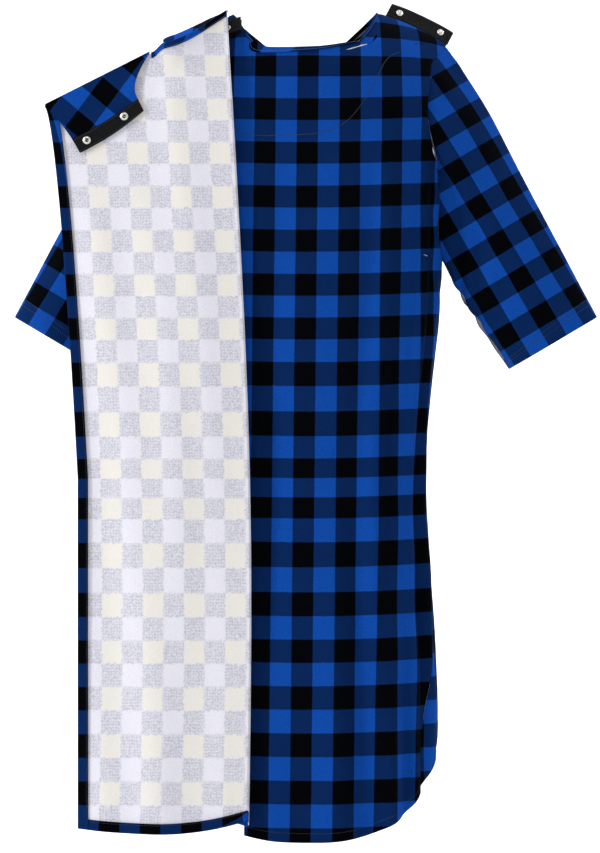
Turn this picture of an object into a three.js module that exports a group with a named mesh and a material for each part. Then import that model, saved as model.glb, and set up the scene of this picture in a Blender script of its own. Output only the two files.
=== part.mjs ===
// An open-back patient gown in buffalo-check flannel, standing as if on an invisible wearer, seen from its back at -Y.
// The right back panel lies closed on the left shoulder. The left back panel, which laps over it, is folded open along
// the line from the left neck point to the hem, and its shoulder corner is folded down once more.
// Millimetres, +Z up, +X to the wearer's right-hand side, origin midway between the neck points.
import * as THREE from "three";

// ---- Cloth and layers ----
const CLOTH = 1.2;             // flannel
const TAPE = 1.0;              // woven snap tape
const FOLDED_CLOTH = 0.8;      // pressed layer of a turned hem, a facing or a binding
const LAYER_GAP = 0.8;         // clear space between cloth layers that follow the same curve
const SEAM = 0.001;            // share of the way round left open each side of a side seam, about 0.9 mm
const SHOULDER_SEAM = 0.4;     // back and front stand this far from the shoulder line
const BACK_SEAM = 0.009;       // the same where the right side seam has swung to the back

// ---- Torso ----
const NECK_HALF = 96;          // neck point from the centre
const FRONT_NECK_LEFT = 103;   // the front panel's left neck point is drawn out this far
const NECK_POWER = 4.3;
const SHOULDER_HALF = 190;     // shoulder tip from the centre
const SHOULDER_SLOPE = 0.28;
const SHOULDER_BOW = 0.0018;
const LEFT_SLOPE = 0.62;       // the opened left shoulder sags near the neck
const LEFT_BOW = -0.0018;
const SHOULDER_ROUNDING = 120; // height over which the shoulder rounds into the back
const ROUNDING_POWER = 1.6;
const BACK_NECK_DROP = 50;
const FRONT_NECK_DROP = 84;
const CHEST_HALF_WIDTH = 181;
const WAIST_HALF_WIDTH = 163;
const HEM_HALF_WIDTH = 176;
const CHEST_HALF_DEPTH = 84;
const WAIST_HALF_DEPTH = 81;
const HEM_HALF_DEPTH = 88;
const CHEST_LEVEL = -350;
const WAIST_LEVEL = -615;
const BACK_LENGTH = 1115;
const FRONT_LENGTH = 1100;
const OVER_LENGTH = 1101;
const SIDE_LENGTH = 965;       // the shirt-tail hem rises to this at the side seams
const HEM_CURVE = 1.84;
const SQUARENESS = 2.8;        // 2 is an ellipse in plan
const UNDERARM_LEVEL = -330;
const ARMHOLE_INSET = 17;
const ARMHOLE_LOW_INSET = 4.5;
const SEAM_DRIFT = 0.36;       // how far the right side seam swings to the back at the hem
const FREE_EDGE_TOP = -166;    // under panel's free edge below the left shoulder
const FREE_EDGE_HEM = -83;
const UNDER_INSET = 0.1;       // share of the way round from the left armhole to the under panel

// ---- Hems, bindings and facing ----
const HEM_WIDTH = 13;
const SIDE_HEM_GAP = 1.3;
const CUFF_HEM_WIDTH = 20;
const BINDING_WIDTH = 7;
const FACING_LEVEL = -171;     // lowest point of the half-moon facing
const FACING_END_LEVEL = -58;
const FACING_HALF_WIDTH = 155;
const FACING_GAP = 2.6;

// ---- Over panel: base on the torso, leaf folded open, corner flap folded down ----
const BASE_LIFT = 4.2;         // base above the under panel
const BASE_SHOULDER_LIFT = 7;  // more lift where it covers the left snaps
const LIFT_REACH = 90;
const FOLD_TOP = -107;         // fold line's place across, at the neck
const FOLD_HEM = -80;          // and at the hem
const FOLD_BOW = 14;
const FOLD_GAP = 3;            // leaf in front of the base at the fold
const LEAF_SWEEP = 14;         // how far the leaf's free edge falls back towards the sleeve
const LEAF_TUCK = 38;          // how far its neck corner is drawn in to the shoulder
const LEAF_TOP_EDGE = -349;    // free edge's place across, at the crease
const LEAF_HEM_EDGE = -304;
const LEAF_NECK_DROP = 46;
const CREASE_DROP = 58;        // where the flap's crease meets the neckline
const CREASE_INNER = -209;
const CREASE_END = -128;       // level of the crease at the free edge
const FLAP_GAP = 3;
const FLAP_DEPTH = 76;         // crease to the tape's outer edge
const FLAP_END_DEPTH = 64;
const FLAP_END = 115;          // along the crease
const FLAP_START = 13;
const FLAP_SAG = 3.5;          // its lower edge hangs in a slight curve

// ---- Snap tapes and ring snaps ----
const TAPE_WIDTH = 20.5;
const TAPE_PAST_NECK = 10;     // the left tapes run this far past the neck point
const SNAP_SPACING = 58;
const SNAP_RADIUS = 5.3;       // size 16 ring snap
const STUD_RADIUS = 4.6;
const RING_HOLE = 2.6;
const POST_RADIUS = 1.9;
const SOCKET_BORE = 2.4;
const PLATE = 0.6;             // thickness of a stud's plate and of a ring
const SOCKET_HEIGHT = 1.6;
const POST_HEIGHT = 1.4;
const SPRING_WIRE = 0.22;
const SNAP_GAP = 0.6;          // metal clear of the tape that it clamps

// ---- Sleeves ----
const CUFF_CENTRE = new THREE.Vector3(334, 0, -444);
const SLEEVE_LEAN = THREE.MathUtils.degToRad(30.8);
const CUFF_HALF_WIDTH = 69.5;
const CUFF_HALF_DEPTH = 33;
const SLEEVE_GAP = 3.6;

// ---- Materials ----
const cloth = new THREE.MeshStandardMaterial({ color: 0x0f4498, roughness: 0.9, metalness: 0 });
const lining = new THREE.MeshStandardMaterial({ color: 0xd6d4de, roughness: 0.95, metalness: 0 });
const blackTape = new THREE.MeshStandardMaterial({ color: 0x08090b, roughness: 0.85, metalness: 0 });
const snapMetal = new THREE.MeshStandardMaterial({ color: 0xd8d8d0, roughness: 0.35, metalness: 0.8 });

const gown = new THREE.Group();

// ---- Small helpers ----
const clamp01 = (x) => Math.min(1, Math.max(0, x));
const smooth = (x) => clamp01(x) ** 2 * (3 - 2 * clamp01(x));
const mix = (a, b, w) => a + (b - a) * w;
const signedPower = (x, p) => Math.sign(x) * Math.abs(x) ** p;

// Numbers from the first stop to the last, with a given count of steps between each two stops.
function lines(stops, counts) {
  const out = [stops[0]];
  counts.forEach((n, k) => {
    for (let i = 1; i <= n; i++) out.push(mix(stops[k], stops[k + 1], i / n));
  });
  return out;
}

function add(name, geometry, material) {
  const mesh = new THREE.Mesh(geometry, material);
  mesh.name = name;
  gown.add(mesh);
  return mesh;
}

// A closed sheet: point(u, v, d) is its surface, raised by d, and the sheet fills from d0 to d1.
function sheet(name, point, us, vs, d0, d1, material) {
  const positions = [];
  const index = [];
  const rows = vs.length;
  const at = (i, j, side) => (side * us.length + i) * rows + j;
  for (const d of [d0, d1]) {
    for (const u of us) {
      for (const v of vs) positions.push(...point(u, v, d).toArray());
    }
  }
  const quad = (a, b, c, e) => index.push(a, b, c, a, c, e);
  for (let i = 0; i + 1 < us.length; i++) {
    for (let j = 0; j + 1 < rows; j++) {
      quad(at(i, j, 1), at(i, j + 1, 1), at(i + 1, j + 1, 1), at(i + 1, j, 1));
      quad(at(i, j, 0), at(i + 1, j, 0), at(i + 1, j + 1, 0), at(i, j + 1, 0));
    }
    quad(at(i, 0, 0), at(i, 0, 1), at(i + 1, 0, 1), at(i + 1, 0, 0));
    quad(at(i, rows - 1, 0), at(i + 1, rows - 1, 0), at(i + 1, rows - 1, 1), at(i, rows - 1, 1));
  }
  const last = us.length - 1;
  for (let j = 0; j + 1 < rows; j++) {
    quad(at(0, j, 0), at(0, j + 1, 0), at(0, j + 1, 1), at(0, j, 1));
    quad(at(last, j, 0), at(last, j, 1), at(last, j + 1, 1), at(last, j + 1, 0));
  }
  return add(name, closedGeometry(positions, index), material);
}

// A tube with a wall: point(angle, s, d) runs round by angle and along by s.
function tube(name, point, steps, ss, d0, d1, material) {
  const positions = [];
  const index = [];
  const rows = ss.length;
  const at = (i, j, side) => (side * steps + (i % steps)) * rows + j;
  for (const d of [d0, d1]) {
    for (let i = 0; i < steps; i++) {
      for (const s of ss) positions.push(...point((i / steps) * 2 * Math.PI, s, d).toArray());
    }
  }
  const quad = (a, b, c, e) => index.push(a, b, c, a, c, e);
  for (let i = 0; i < steps; i++) {
    for (let j = 0; j + 1 < rows; j++) {
      quad(at(i, j, 1), at(i, j + 1, 1), at(i + 1, j + 1, 1), at(i + 1, j, 1));
      quad(at(i, j, 0), at(i + 1, j, 0), at(i + 1, j + 1, 0), at(i, j + 1, 0));
    }
    quad(at(i, 0, 0), at(i, 0, 1), at(i + 1, 0, 1), at(i + 1, 0, 0));
    quad(at(i, rows - 1, 0), at(i + 1, rows - 1, 0), at(i + 1, rows - 1, 1), at(i, rows - 1, 1));
  }
  return add(name, closedGeometry(positions, index), material);
}

// Turns the faces round where the solid came out inside out.
function closedGeometry(positions, index) {
  const corner = (k) => new THREE.Vector3().fromArray(positions, 3 * index[k]);
  let volume = 0;
  for (let k = 0; k < index.length; k += 3) volume += corner(k).dot(corner(k + 1).cross(corner(k + 2)));
  if (volume < 0) index.reverse();
  const geometry = new THREE.BufferGeometry();
  geometry.setAttribute("position", new THREE.Float32BufferAttribute(positions, 3));
  geometry.setIndex(index);
  geometry.computeVertexNormals();
  return geometry;
}

// point raised along the surface's own normal; outward picks the side.
function raised(surface, u, v, d, du, dv, outward) {
  const p = surface(u, v);
  const alongU = surface(u + du, v).sub(surface(u - du, v));
  const alongV = surface(u, v + dv).sub(surface(u, v - dv));
  const normal = alongU.cross(alongV).normalize();
  if (normal.dot(outward) < 0) normal.negate();
  return p.addScaledVector(normal, d);
}

// ---- The torso's shape. t runs round it: -1 left side, 0 back centre, 1 right side, 2 front centre, 3 left side ----
const halfWidth = (z) =>
  CHEST_HALF_WIDTH +
  (SHOULDER_HALF - CHEST_HALF_WIDTH) * (1 - smooth(-z / 230)) +
  (WAIST_HALF_WIDTH - CHEST_HALF_WIDTH) * smooth((CHEST_LEVEL - z) / (CHEST_LEVEL - WAIST_LEVEL)) +
  (HEM_HALF_WIDTH - WAIST_HALF_WIDTH) * smooth((WAIST_LEVEL - z) / 330);
const halfDepth = (z) =>
  CHEST_HALF_DEPTH +
  (WAIST_HALF_DEPTH - CHEST_HALF_DEPTH) * smooth((CHEST_LEVEL - z) / (CHEST_LEVEL - WAIST_LEVEL)) +
  (HEM_HALF_DEPTH - WAIST_HALF_DEPTH) * smooth((WAIST_LEVEL - z) / 400);

// Level of the shoulder line; over the neck it runs on upwards, which only shapes the rounding.
function shoulderLevel(x) {
  const past = Math.abs(x) - NECK_HALF;
  if (past < 0) return -SHOULDER_SLOPE * past;
  const [slope, bow] = x < 0 ? [LEFT_SLOPE, LEFT_BOW] : [SHOULDER_SLOPE, SHOULDER_BOW];
  return -slope * past - bow * past * past;
}
function rounding(x, z) {
  const below = clamp01((shoulderLevel(x) - z) / SHOULDER_ROUNDING);
  return (1 - (1 - below) ** ROUNDING_POWER) ** (1 / ROUNDING_POWER);
}
function torso(t, z) {
  const round = (Math.PI / 2) * t;
  const x = halfWidth(z) * signedPower(Math.sin(round), 2 / SQUARENESS);
  const y = -halfDepth(z) * signedPower(Math.cos(round), 2 / SQUARENESS) * rounding(x, z);
  const seam = SHOULDER_SEAM * (1 - smooth((shoulderLevel(x) - z) / 20)) * Math.sign(Math.cos(round));
  return new THREE.Vector3(x, y - seam, z);
}
// The torso raised by d, away from the wearer.
function onTorso(t, z, d) {
  const outward = torso(t, z).setZ(0);
  outward.z = 0.6 * halfDepth(z) * (1 - rounding(torso(t, z).x, z));
  return raised(torso, t, z, d, 0.004, 1.5, outward);
}
// t at which the torso reaches a place across, on the back.
function roundAt(x, z) {
  const share = clamp01(Math.abs(x) / halfWidth(z));
  return Math.sign(x) * Math.asin(share ** (SQUARENESS / 2)) * (2 / Math.PI);
}

// The armhole's edge, as a place across, from the shoulder tip down to the underarm.
const TIP_LEVEL = shoulderLevel(SHOULDER_HALF);
function armholeAcross(z) {
  const down = clamp01((TIP_LEVEL - z) / (TIP_LEVEL - UNDERARM_LEVEL));
  const high = ARMHOLE_INSET * smooth(down / 0.1) * (1 - smooth((down - 0.3) / 0.32));
  return halfWidth(z) - high - ARMHOLE_LOW_INSET * Math.sqrt(Math.abs(Math.sin(Math.PI * down)));
}
const sideEdge = (z) => (z > UNDERARM_LEVEL ? Math.min(1 - SEAM, roundAt(armholeAcross(z), z)) : 1 - SEAM);
// The right side seam swings to the back below the waist.
const rightSeam = (z) => sideEdge(z) - SEAM_DRIFT * smooth((WAIST_LEVEL - z) / 420);

// Level of the hem at t: lowest at the centre of the back or front, highest at the side seams.
function hemLevel(t, length) {
  const fromCentre = Math.abs(t) > 1 ? Math.abs(2 - Math.abs(t)) : Math.abs(t);
  return -length + (length - SIDE_LENGTH) * fromCentre ** HEM_CURVE;
}
const neckBack = { left: NECK_HALF, drop: BACK_NECK_DROP, power: NECK_POWER };
const neckFront = { left: FRONT_NECK_LEFT, drop: FRONT_NECK_DROP, power: 1.3 };
// Level of a panel's top edge at a place across: its neckline, then its shoulder line.
function topLevel(x, neck) {
  const half = x < 0 ? neck.left : NECK_HALF;
  const share = Math.abs(x) / half;
  const end = shoulderLevel(Math.sign(x) * half);
  return share < 1 ? end - (neck.drop + end) * (1 - share ** neck.power) : shoulderLevel(x);
}
// t of a distance across at the level of the shoulder tips.
const roundAtTip = (x) => Math.asin((x / SHOULDER_HALF) ** (SQUARENESS / 2)) * (2 / Math.PI);

// A panel of the torso between two edges; its columns meet the neck points, and its rows run from top edge to hem.
function panel({ left, right, neck, length }) {
  return (f, v, d) => {
    const topRound = mix(left(TIP_LEVEL), right(TIP_LEVEL), f);
    const topAcross = SHOULDER_HALF * signedPower(Math.sin((Math.PI / 2) * topRound), 2 / SQUARENESS);
    const top = topLevel(topAcross, neck);
    const bottom = hemLevel(mix(left(-length), right(-length), f), length);
    const z = mix(top, bottom, v);
    return onTorso(mix(left(z), right(z), f), z, d);
  };
}
// Rows are close over the rounded shoulder and wide below it.
const ROWS = lines([0, 0.012, 0.06, 0.13, 0.3, 1], [2, 4, 4, 3, 7]);

// ---- Front panel ----
const seamGap = (z) => mix(2 * SEAM, BACK_SEAM, smooth((WAIST_LEVEL - z) / 60));
const frontEdges = {
  left: (z) => (z > WAIST_LEVEL ? 2 - sideEdge(z) : rightSeam(z) + seamGap(z)),
  right: (z) => 2 + sideEdge(z),
};
const frontPanel = panel({ ...frontEdges, neck: neckFront, length: FRONT_LENGTH });
const frontTop = [frontEdges.left(TIP_LEVEL), frontEdges.right(TIP_LEVEL)];
const frontColumn = (t) => (t - frontTop[0]) / (frontTop[1] - frontTop[0]);
const frontNeck = [frontColumn(2 - roundAtTip(NECK_HALF)), frontColumn(2 + roundAtTip(FRONT_NECK_LEFT))];
const frontColumns = lines([0, 0.08, ...frontNeck, 0.92, 1], [3, 3, 10, 3, 3]);
sheet("front_panel", frontPanel, frontColumns, ROWS, 0, CLOTH, cloth);

// ---- Under panel: sewn to the front at the right side, free at the left ----
const freeEdge = (z) => {
  const across = mix(FREE_EDGE_TOP, FREE_EDGE_HEM, smooth(-z / BACK_LENGTH));
  return Math.max(roundAt(across, z), UNDER_INSET - sideEdge(z));
};
const underEdges = { left: freeEdge, right: rightSeam };
const underPanel = panel({ ...underEdges, neck: neckBack, length: BACK_LENGTH });
const underTop = [freeEdge(TIP_LEVEL), rightSeam(TIP_LEVEL)];
const underColumn = (t) => (t - underTop[0]) / (underTop[1] - underTop[0]);
const underNeck = [underColumn(-roundAtTip(NECK_HALF)), underColumn(roundAtTip(NECK_HALF))];
const underColumns = lines([0, ...underNeck, 0.93, 1], [3, 10, 4, 3]);
sheet("under_panel", underPanel, underColumns, ROWS, 0, CLOTH, cloth);

// Turned hem of a panel: a strip at the hem on the wearer's side.
function hemStrip(name, surface, columns, length, cloth0) {
  const share = 1 - HEM_WIDTH / length;
  sheet(name, surface, columns, [share, 1], cloth0 - LAYER_GAP - FOLDED_CLOTH, cloth0 - LAYER_GAP, cloth);
}
hemStrip("front_hem", frontPanel, frontColumns, FRONT_LENGTH, 0);
hemStrip("under_hem", underPanel, underColumns.slice(1), BACK_LENGTH, 0);
sheet("under_side_hem", underPanel, [0, 0.05], [...ROWS.filter((v) => v > 0.12 && v < 0.99), 0.98],
  -SIDE_HEM_GAP - FOLDED_CLOTH, -SIDE_HEM_GAP, cloth);

// Neck bindings: narrow strips on the outside of the neck edges.
function neckBinding(name, surface, ends, length, steps) {
  const width = BINDING_WIDTH / length;
  const under = CLOTH + LAYER_GAP + 0.8;
  sheet(name, surface, lines(ends, [steps]), [0, width], under, under + FOLDED_CLOTH, cloth);
}
neckBinding("front_neck_binding", frontPanel, frontNeck, FRONT_LENGTH, 20);
const bindingStart = underColumn(-roundAtTip(NECK_HALF - TAPE_PAST_NECK - 5));
neckBinding("under_neck_binding", underPanel, [bindingStart, underNeck[1]], BACK_LENGTH, 20);

// Half-moon facing inside the upper back, stitched through along its curved edge. It shares the under panel's columns.
const facingEnd = roundAt(FACING_HALF_WIDTH, TIP_LEVEL);
const facingEnds = [underColumn(-facingEnd), underColumn(facingEnd)];
function facingPoint(f, v, d) {
  const side = 2 * (f - facingEnds[0]) / (facingEnds[1] - facingEnds[0]) - 1;
  const top = topLevel(side * FACING_HALF_WIDTH, neckBack);
  const bottom = mix(FACING_LEVEL, FACING_END_LEVEL, Math.abs(side) ** 2.6);
  return underPanel(f, mix(0.005, (top - bottom) / (BACK_LENGTH - BACK_NECK_DROP), v), d);
}
const facingColumns = lines([facingEnds[0], ...underNeck, facingEnds[1]], [2, 10, 2]);
sheet("half_moon_facing", facingPoint, facingColumns, lines([0, 1], [10]),
  -FACING_GAP - FOLDED_CLOTH, -FACING_GAP, cloth);

// ---- Over panel's base: from the left side seam to the fold, over the under panel ----
const foldAcross = (z) => {
  const down = clamp01(-z / OVER_LENGTH);
  return mix(FOLD_TOP, FOLD_HEM, down) + FOLD_BOW * Math.sin(Math.PI * down ** 1.15);
};
const baseEdges = { left: (z) => -sideEdge(z), right: (z) => roundAt(foldAcross(z), z) };
const baseOnTorso = panel({ ...baseEdges, neck: neckBack, length: OVER_LENGTH });
function basePoint(f, v, d) {
  const flat = baseOnTorso(f, v, 0);
  const below = Math.max(0, shoulderLevel(flat.x) - flat.z);
  const overSnaps = BASE_SHOULDER_LIFT * Math.exp(-((below / LIFT_REACH) ** 2));
  return baseOnTorso(f, v, (BASE_LIFT + overSnaps) * smooth((f + 0.02) / 0.17) + d);
}
const baseColumns = lines([0, 0.2, 1], [4, 4]);
sheet("over_panel_base", basePoint, baseColumns, ROWS, 0, CLOTH, cloth);
hemStrip("base_hem", basePoint, baseColumns, OVER_LENGTH, 0);

// ---- Over panel's leaf: hangs from the fold, its wrong side to the back ----
const deepest = Math.max(CHEST_HALF_DEPTH, WAIST_HALF_DEPTH, HEM_HALF_DEPTH);
const foldDepth = -deepest - BASE_LIFT - 2 * CLOTH - FOLD_GAP;
const LEAF_TOP_WIDTH = FOLD_TOP - LEAF_TOP_EDGE;
const leafEdge = (z) => mix(LEAF_TOP_EDGE, LEAF_HEM_EDGE, clamp01((CREASE_END - z) / 500) ** 0.6);
function leafTop(x) {
  const out = FOLD_TOP - x;
  if (x > CREASE_INNER) return -LEAF_NECK_DROP * Math.sin((Math.PI / 2) * clamp01(out / 96)) ** 1.1;
  return mix(-CREASE_DROP, CREASE_END, (CREASE_INNER - x) / (CREASE_INNER - LEAF_TOP_EDGE));
}
const leafHem = (w) => -OVER_LENGTH - 2 + 18 * (1 - clamp01(w / 0.5)) ** 2 + 7 * clamp01((w - 0.5) / 0.5) ** 2;
// The leaf's place in depth; raised by d it is further out from the back.
function leafDepth(x, z, d) {
  const out = clamp01((FOLD_TOP - x) / LEAF_TOP_WIDTH);
  const tuck = (1 - smooth(-z / 100)) * (1 - smooth(out / 0.3));
  return foldDepth + LEAF_SWEEP * out + LEAF_TUCK * tuck - d;
}
function leafPoint(w, v, d) {
  const topAcross = mix(FOLD_TOP, LEAF_TOP_EDGE, w);
  const z = mix(leafTop(topAcross), leafHem(w), v);
  const x = mix(foldAcross(z), leafEdge(z), w);
  return new THREE.Vector3(x, leafDepth(x, z, d), z);
}
const CREASE_SHARE = (FOLD_TOP - CREASE_INNER) / LEAF_TOP_WIDTH;
const leafColumns = lines([0, CREASE_SHARE, 1], [8, 6]);
sheet("over_panel_leaf", leafPoint, leafColumns, lines([0, 0.12, 0.5, 1], [5, 4, 3]), 0, CLOTH, lining);

const leafFront = CLOTH + LAYER_GAP;
const LEAF_WIDTH = FOLD_HEM - LEAF_HEM_EDGE;
sheet("leaf_side_hem", leafPoint, [1 - HEM_WIDTH / LEAF_WIDTH, 1], lines([0.02, 0.5, 0.98], [10, 3]),
  leafFront, leafFront + FOLDED_CLOTH, cloth);
sheet("leaf_bottom_hem", leafPoint, lines([0, 1], [12]), [1 - HEM_WIDTH / OVER_LENGTH, 1],
  leafFront, leafFront + FOLDED_CLOTH, cloth);
sheet("leaf_neck_binding", leafPoint, leafColumns.slice(0, 8), [0, BINDING_WIDTH / OVER_LENGTH],
  leafFront + 1.2, leafFront + 1.2 + FOLDED_CLOTH, cloth);

// ---- Corner flap: folded down along the crease, its right side out ----
function onCrease(x, z) {
  return new THREE.Vector3(x, leafDepth(x, z, CLOTH + FLAP_GAP), z);
}
const creaseStart = onCrease(LEAF_TOP_EDGE, CREASE_END);
const creaseEnd = onCrease(CREASE_INNER, -CREASE_DROP);
const CREASE_LENGTH = creaseStart.distanceTo(creaseEnd);
const alongCrease = creaseEnd.clone().sub(creaseStart).normalize();
const towardsViewer = alongCrease.clone().cross(new THREE.Vector3(0, 0, 1)).normalize();
const acrossCrease = alongCrease.clone().cross(towardsViewer).negate();
if (acrossCrease.z > 0) acrossCrease.negate();

// The flap's sides at a depth q below the crease.
const flapLeft = (q) => FLAP_START * Math.sin((Math.PI / 2) * clamp01(q / FLAP_DEPTH));
const flapRight = (q) => mix(CREASE_LENGTH, FLAP_END, Math.sin((Math.PI / 2) * clamp01(q / 44)) ** 0.9);
const flapEnd = (u) => mix(FLAP_DEPTH, FLAP_END_DEPTH, u) + FLAP_SAG * Math.sin(Math.PI * u);
function flapAt(p, q, d) {
  return creaseStart.clone()
    .addScaledVector(alongCrease, p)
    .addScaledVector(acrossCrease, q)
    .addScaledVector(towardsViewer, d);
}
function flapPoint(u, v, d) {
  const q = v * flapEnd(u);
  return flapAt(mix(flapLeft(q), flapRight(q), u), q + 1, d);
}
sheet("over_panel_flap", flapPoint, lines([0, 1], [8]), lines([0, 1], [8]), 0, CLOTH, cloth);
const tapeShare = 1 - TAPE_WIDTH / FLAP_DEPTH;
sheet("flap_tape", flapPoint, lines([0, 1], [8]), lines([tapeShare, 1.01], [2]),
  CLOTH + LAYER_GAP, CLOTH + LAYER_GAP + TAPE, blackTape);

// ---- Right shoulder tape: stands up from the right shoulder seam ----
const TAPE_START = 108;
const TAPE_REACH = SHOULDER_HALF + 1.5 - TAPE_START;
const TAB_LIFT = 1.7;          // lower edge above the shoulder line
const TAB_WAY = new THREE.Vector3(0.4, 0.5, 0.768);  // it stands outwards and leans to the front
const tabAlong = new THREE.Vector3(TAPE_REACH, 0, shoulderLevel(SHOULDER_HALF) - shoulderLevel(TAPE_START));
const tabOut = tabAlong.clone().normalize().cross(TAB_WAY).normalize();
function rightTapePoint(u, v, d) {
  const across = TAPE_START + u * TAPE_REACH;
  const foot = new THREE.Vector3(across, 0, shoulderLevel(across) + TAB_LIFT);
  return foot.addScaledVector(TAB_WAY, TAPE_WIDTH * v).addScaledVector(tabOut, d);
}
sheet("right_shoulder_tape", rightTapePoint, lines([0, 1], [8]), [0, 1], 0, TAPE, blackTape);

// ---- Left shoulder tapes: the under panel's, and over it the one sewn in the left shoulder seam ----
const LEFT_TAPE_START = -(NECK_HALF - TAPE_PAST_NECK);
const LEFT_TAPE_REACH = TAPE_PAST_NECK + 0.7 * (SHOULDER_HALF - NECK_HALF);
const LEFT_TAPE_BELOW = 14;    // upper edge below the shoulder line
const LEFT_TAPE_DROP = 18;
function leftTapePoint(u, v, d) {
  const across = LEFT_TAPE_START - u * LEFT_TAPE_REACH;
  const z = shoulderLevel(across) - LEFT_TAPE_BELOW - LEFT_TAPE_DROP * v;
  return onTorso(roundAt(across, z), z, d);
}
const TAPE_LEVELS = {
  under: CLOTH + LAYER_GAP,
  socket: CLOTH + LAYER_GAP + TAPE + SNAP_GAP,
};
TAPE_LEVELS.plate = TAPE_LEVELS.socket + SOCKET_HEIGHT + SNAP_GAP;
TAPE_LEVELS.over = TAPE_LEVELS.plate + PLATE + SNAP_GAP;
TAPE_LEVELS.ring = TAPE_LEVELS.over + TAPE + SNAP_GAP;
const tapeColumns = lines([0, 1], [10]);
sheet("under_panel_tape", leftTapePoint, tapeColumns, lines([0, 1], [3]),
  TAPE_LEVELS.under, TAPE_LEVELS.under + TAPE, blackTape);
sheet("left_shoulder_tape", leftTapePoint, tapeColumns, lines([0, 1], [3]),
  TAPE_LEVELS.over, TAPE_LEVELS.over + TAPE, blackTape);

// ---- Ring snaps. Each is turned on the Z axis, its lowest face at 0 ----
const ROUND_STEPS = 14;
function turned(profile) {
  const geometry = new THREE.LatheGeometry(profile.map(([r, h]) => new THREE.Vector2(r, h)), ROUND_STEPS);
  return geometry.rotateX(Math.PI / 2);
}
// Stud: a plate with a post that has a bulged head.
const studGeometry = () => turned([
  [0, 0], [STUD_RADIUS, 0], [STUD_RADIUS, PLATE], [POST_RADIUS - 0.4, PLATE],
  [POST_RADIUS, PLATE + 0.6 * POST_HEIGHT], [POST_RADIUS - 0.5, PLATE + POST_HEIGHT], [0, PLATE + POST_HEIGHT],
]);
// Socket: a ring with a rolled rim around its bore.
const socketGeometry = () => turned([
  [SOCKET_BORE, 0], [SNAP_RADIUS, 0], [SNAP_RADIUS, 0.5 * SOCKET_HEIGHT], [SNAP_RADIUS - 0.7, SOCKET_HEIGHT],
  [SOCKET_BORE + 0.6, SOCKET_HEIGHT], [SOCKET_BORE, 0.7 * SOCKET_HEIGHT], [SOCKET_BORE, 0],
]);
// Prong ring: the open ring that clamps the tape from the other side.
const ringGeometry = () => turned([
  [RING_HOLE, 0], [SNAP_RADIUS, 0], [SNAP_RADIUS - 0.4, PLATE], [RING_HOLE + 0.4, PLATE], [RING_HOLE, 0],
]);
// Spring: a bow of wire that lies across the socket's mouth.
function springGeometry() {
  const reach = SNAP_RADIUS - 1.3;
  const bow = new THREE.QuadraticBezierCurve3(
    new THREE.Vector3(-reach, 1.2, 0), new THREE.Vector3(0, 2.6, 0), new THREE.Vector3(reach, 1.2, 0));
  const wire = new THREE.Shape().absarc(0, 0, SPRING_WIRE, 0, 2 * Math.PI);
  return new THREE.ExtrudeGeometry(wire, { extrudePath: bow, steps: 8, curveSegments: 4 });
}
const AXIS = new THREE.Vector3(0, 0, 1);
// Puts a turned piece with its lowest face at base and its axis along the given way.
function fasten(name, geometry, base, way) {
  geometry.applyQuaternion(new THREE.Quaternion().setFromUnitVectors(AXIS, way));
  geometry.translate(base.x, base.y, base.z);
  return add(name, geometry, snapMetal);
}

// Stud and ring on the standing right tape, the stud towards the back.
[0, 1].forEach((k) => {
  const u = 0.505 + ((k - 0.5) * 0.95 * SNAP_SPACING) / TAPE_REACH;
  const seat = rightTapePoint(u, 0.5, TAPE + SNAP_GAP);
  fasten(`right_stud_${k + 1}`, studGeometry(), seat, tabOut);
  const behind = rightTapePoint(u, 0.5, -SNAP_GAP);
  fasten(`right_stud_ring_${k + 1}`, ringGeometry(), behind, tabOut.clone().negate());
});

// Socket, spring and ring on the flap's tape, the socket towards the viewer of the back.
[0.16, 0.74].forEach((u, k) => {
  const q = flapEnd(u) - TAPE_WIDTH / 2 + 1;
  const p = mix(flapLeft(q), flapRight(q), u);
  const front = CLOTH + LAYER_GAP + TAPE + SNAP_GAP;
  fasten(`flap_socket_${k + 1}`, socketGeometry(), flapAt(p, q, front), towardsViewer);
  const springSeat = flapAt(p, q, front + SOCKET_HEIGHT + SPRING_WIRE + 0.3);
  fasten(`flap_spring_${k + 1}`, springGeometry(), springSeat, towardsViewer);
  const behind = flapAt(p, q, -SNAP_GAP);
  fasten(`flap_socket_ring_${k + 1}`, ringGeometry(), behind, towardsViewer.clone().negate());
});

// Closed snaps on the left shoulder: ring, under panel and facing, tape, socket, stud, tape, ring.
[0.22, 0.22 + (0.97 * SNAP_SPACING) / LEFT_TAPE_REACH].forEach((u, k) => {
  const level = (d) => leftTapePoint(u, 0.5, d);
  const out = level(10).sub(level(0)).normalize();
  const inwards = out.clone().negate();
  fasten(`left_socket_ring_${k + 1}`, ringGeometry(), level(-FACING_GAP - FOLDED_CLOTH - 2), inwards);
  fasten(`left_socket_${k + 1}`, socketGeometry(), level(TAPE_LEVELS.socket), out);
  fasten(`left_stud_${k + 1}`, studGeometry(), level(TAPE_LEVELS.plate + PLATE), inwards);
  fasten(`left_stud_ring_${k + 1}`, ringGeometry(), level(TAPE_LEVELS.ring), out);
});

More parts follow.
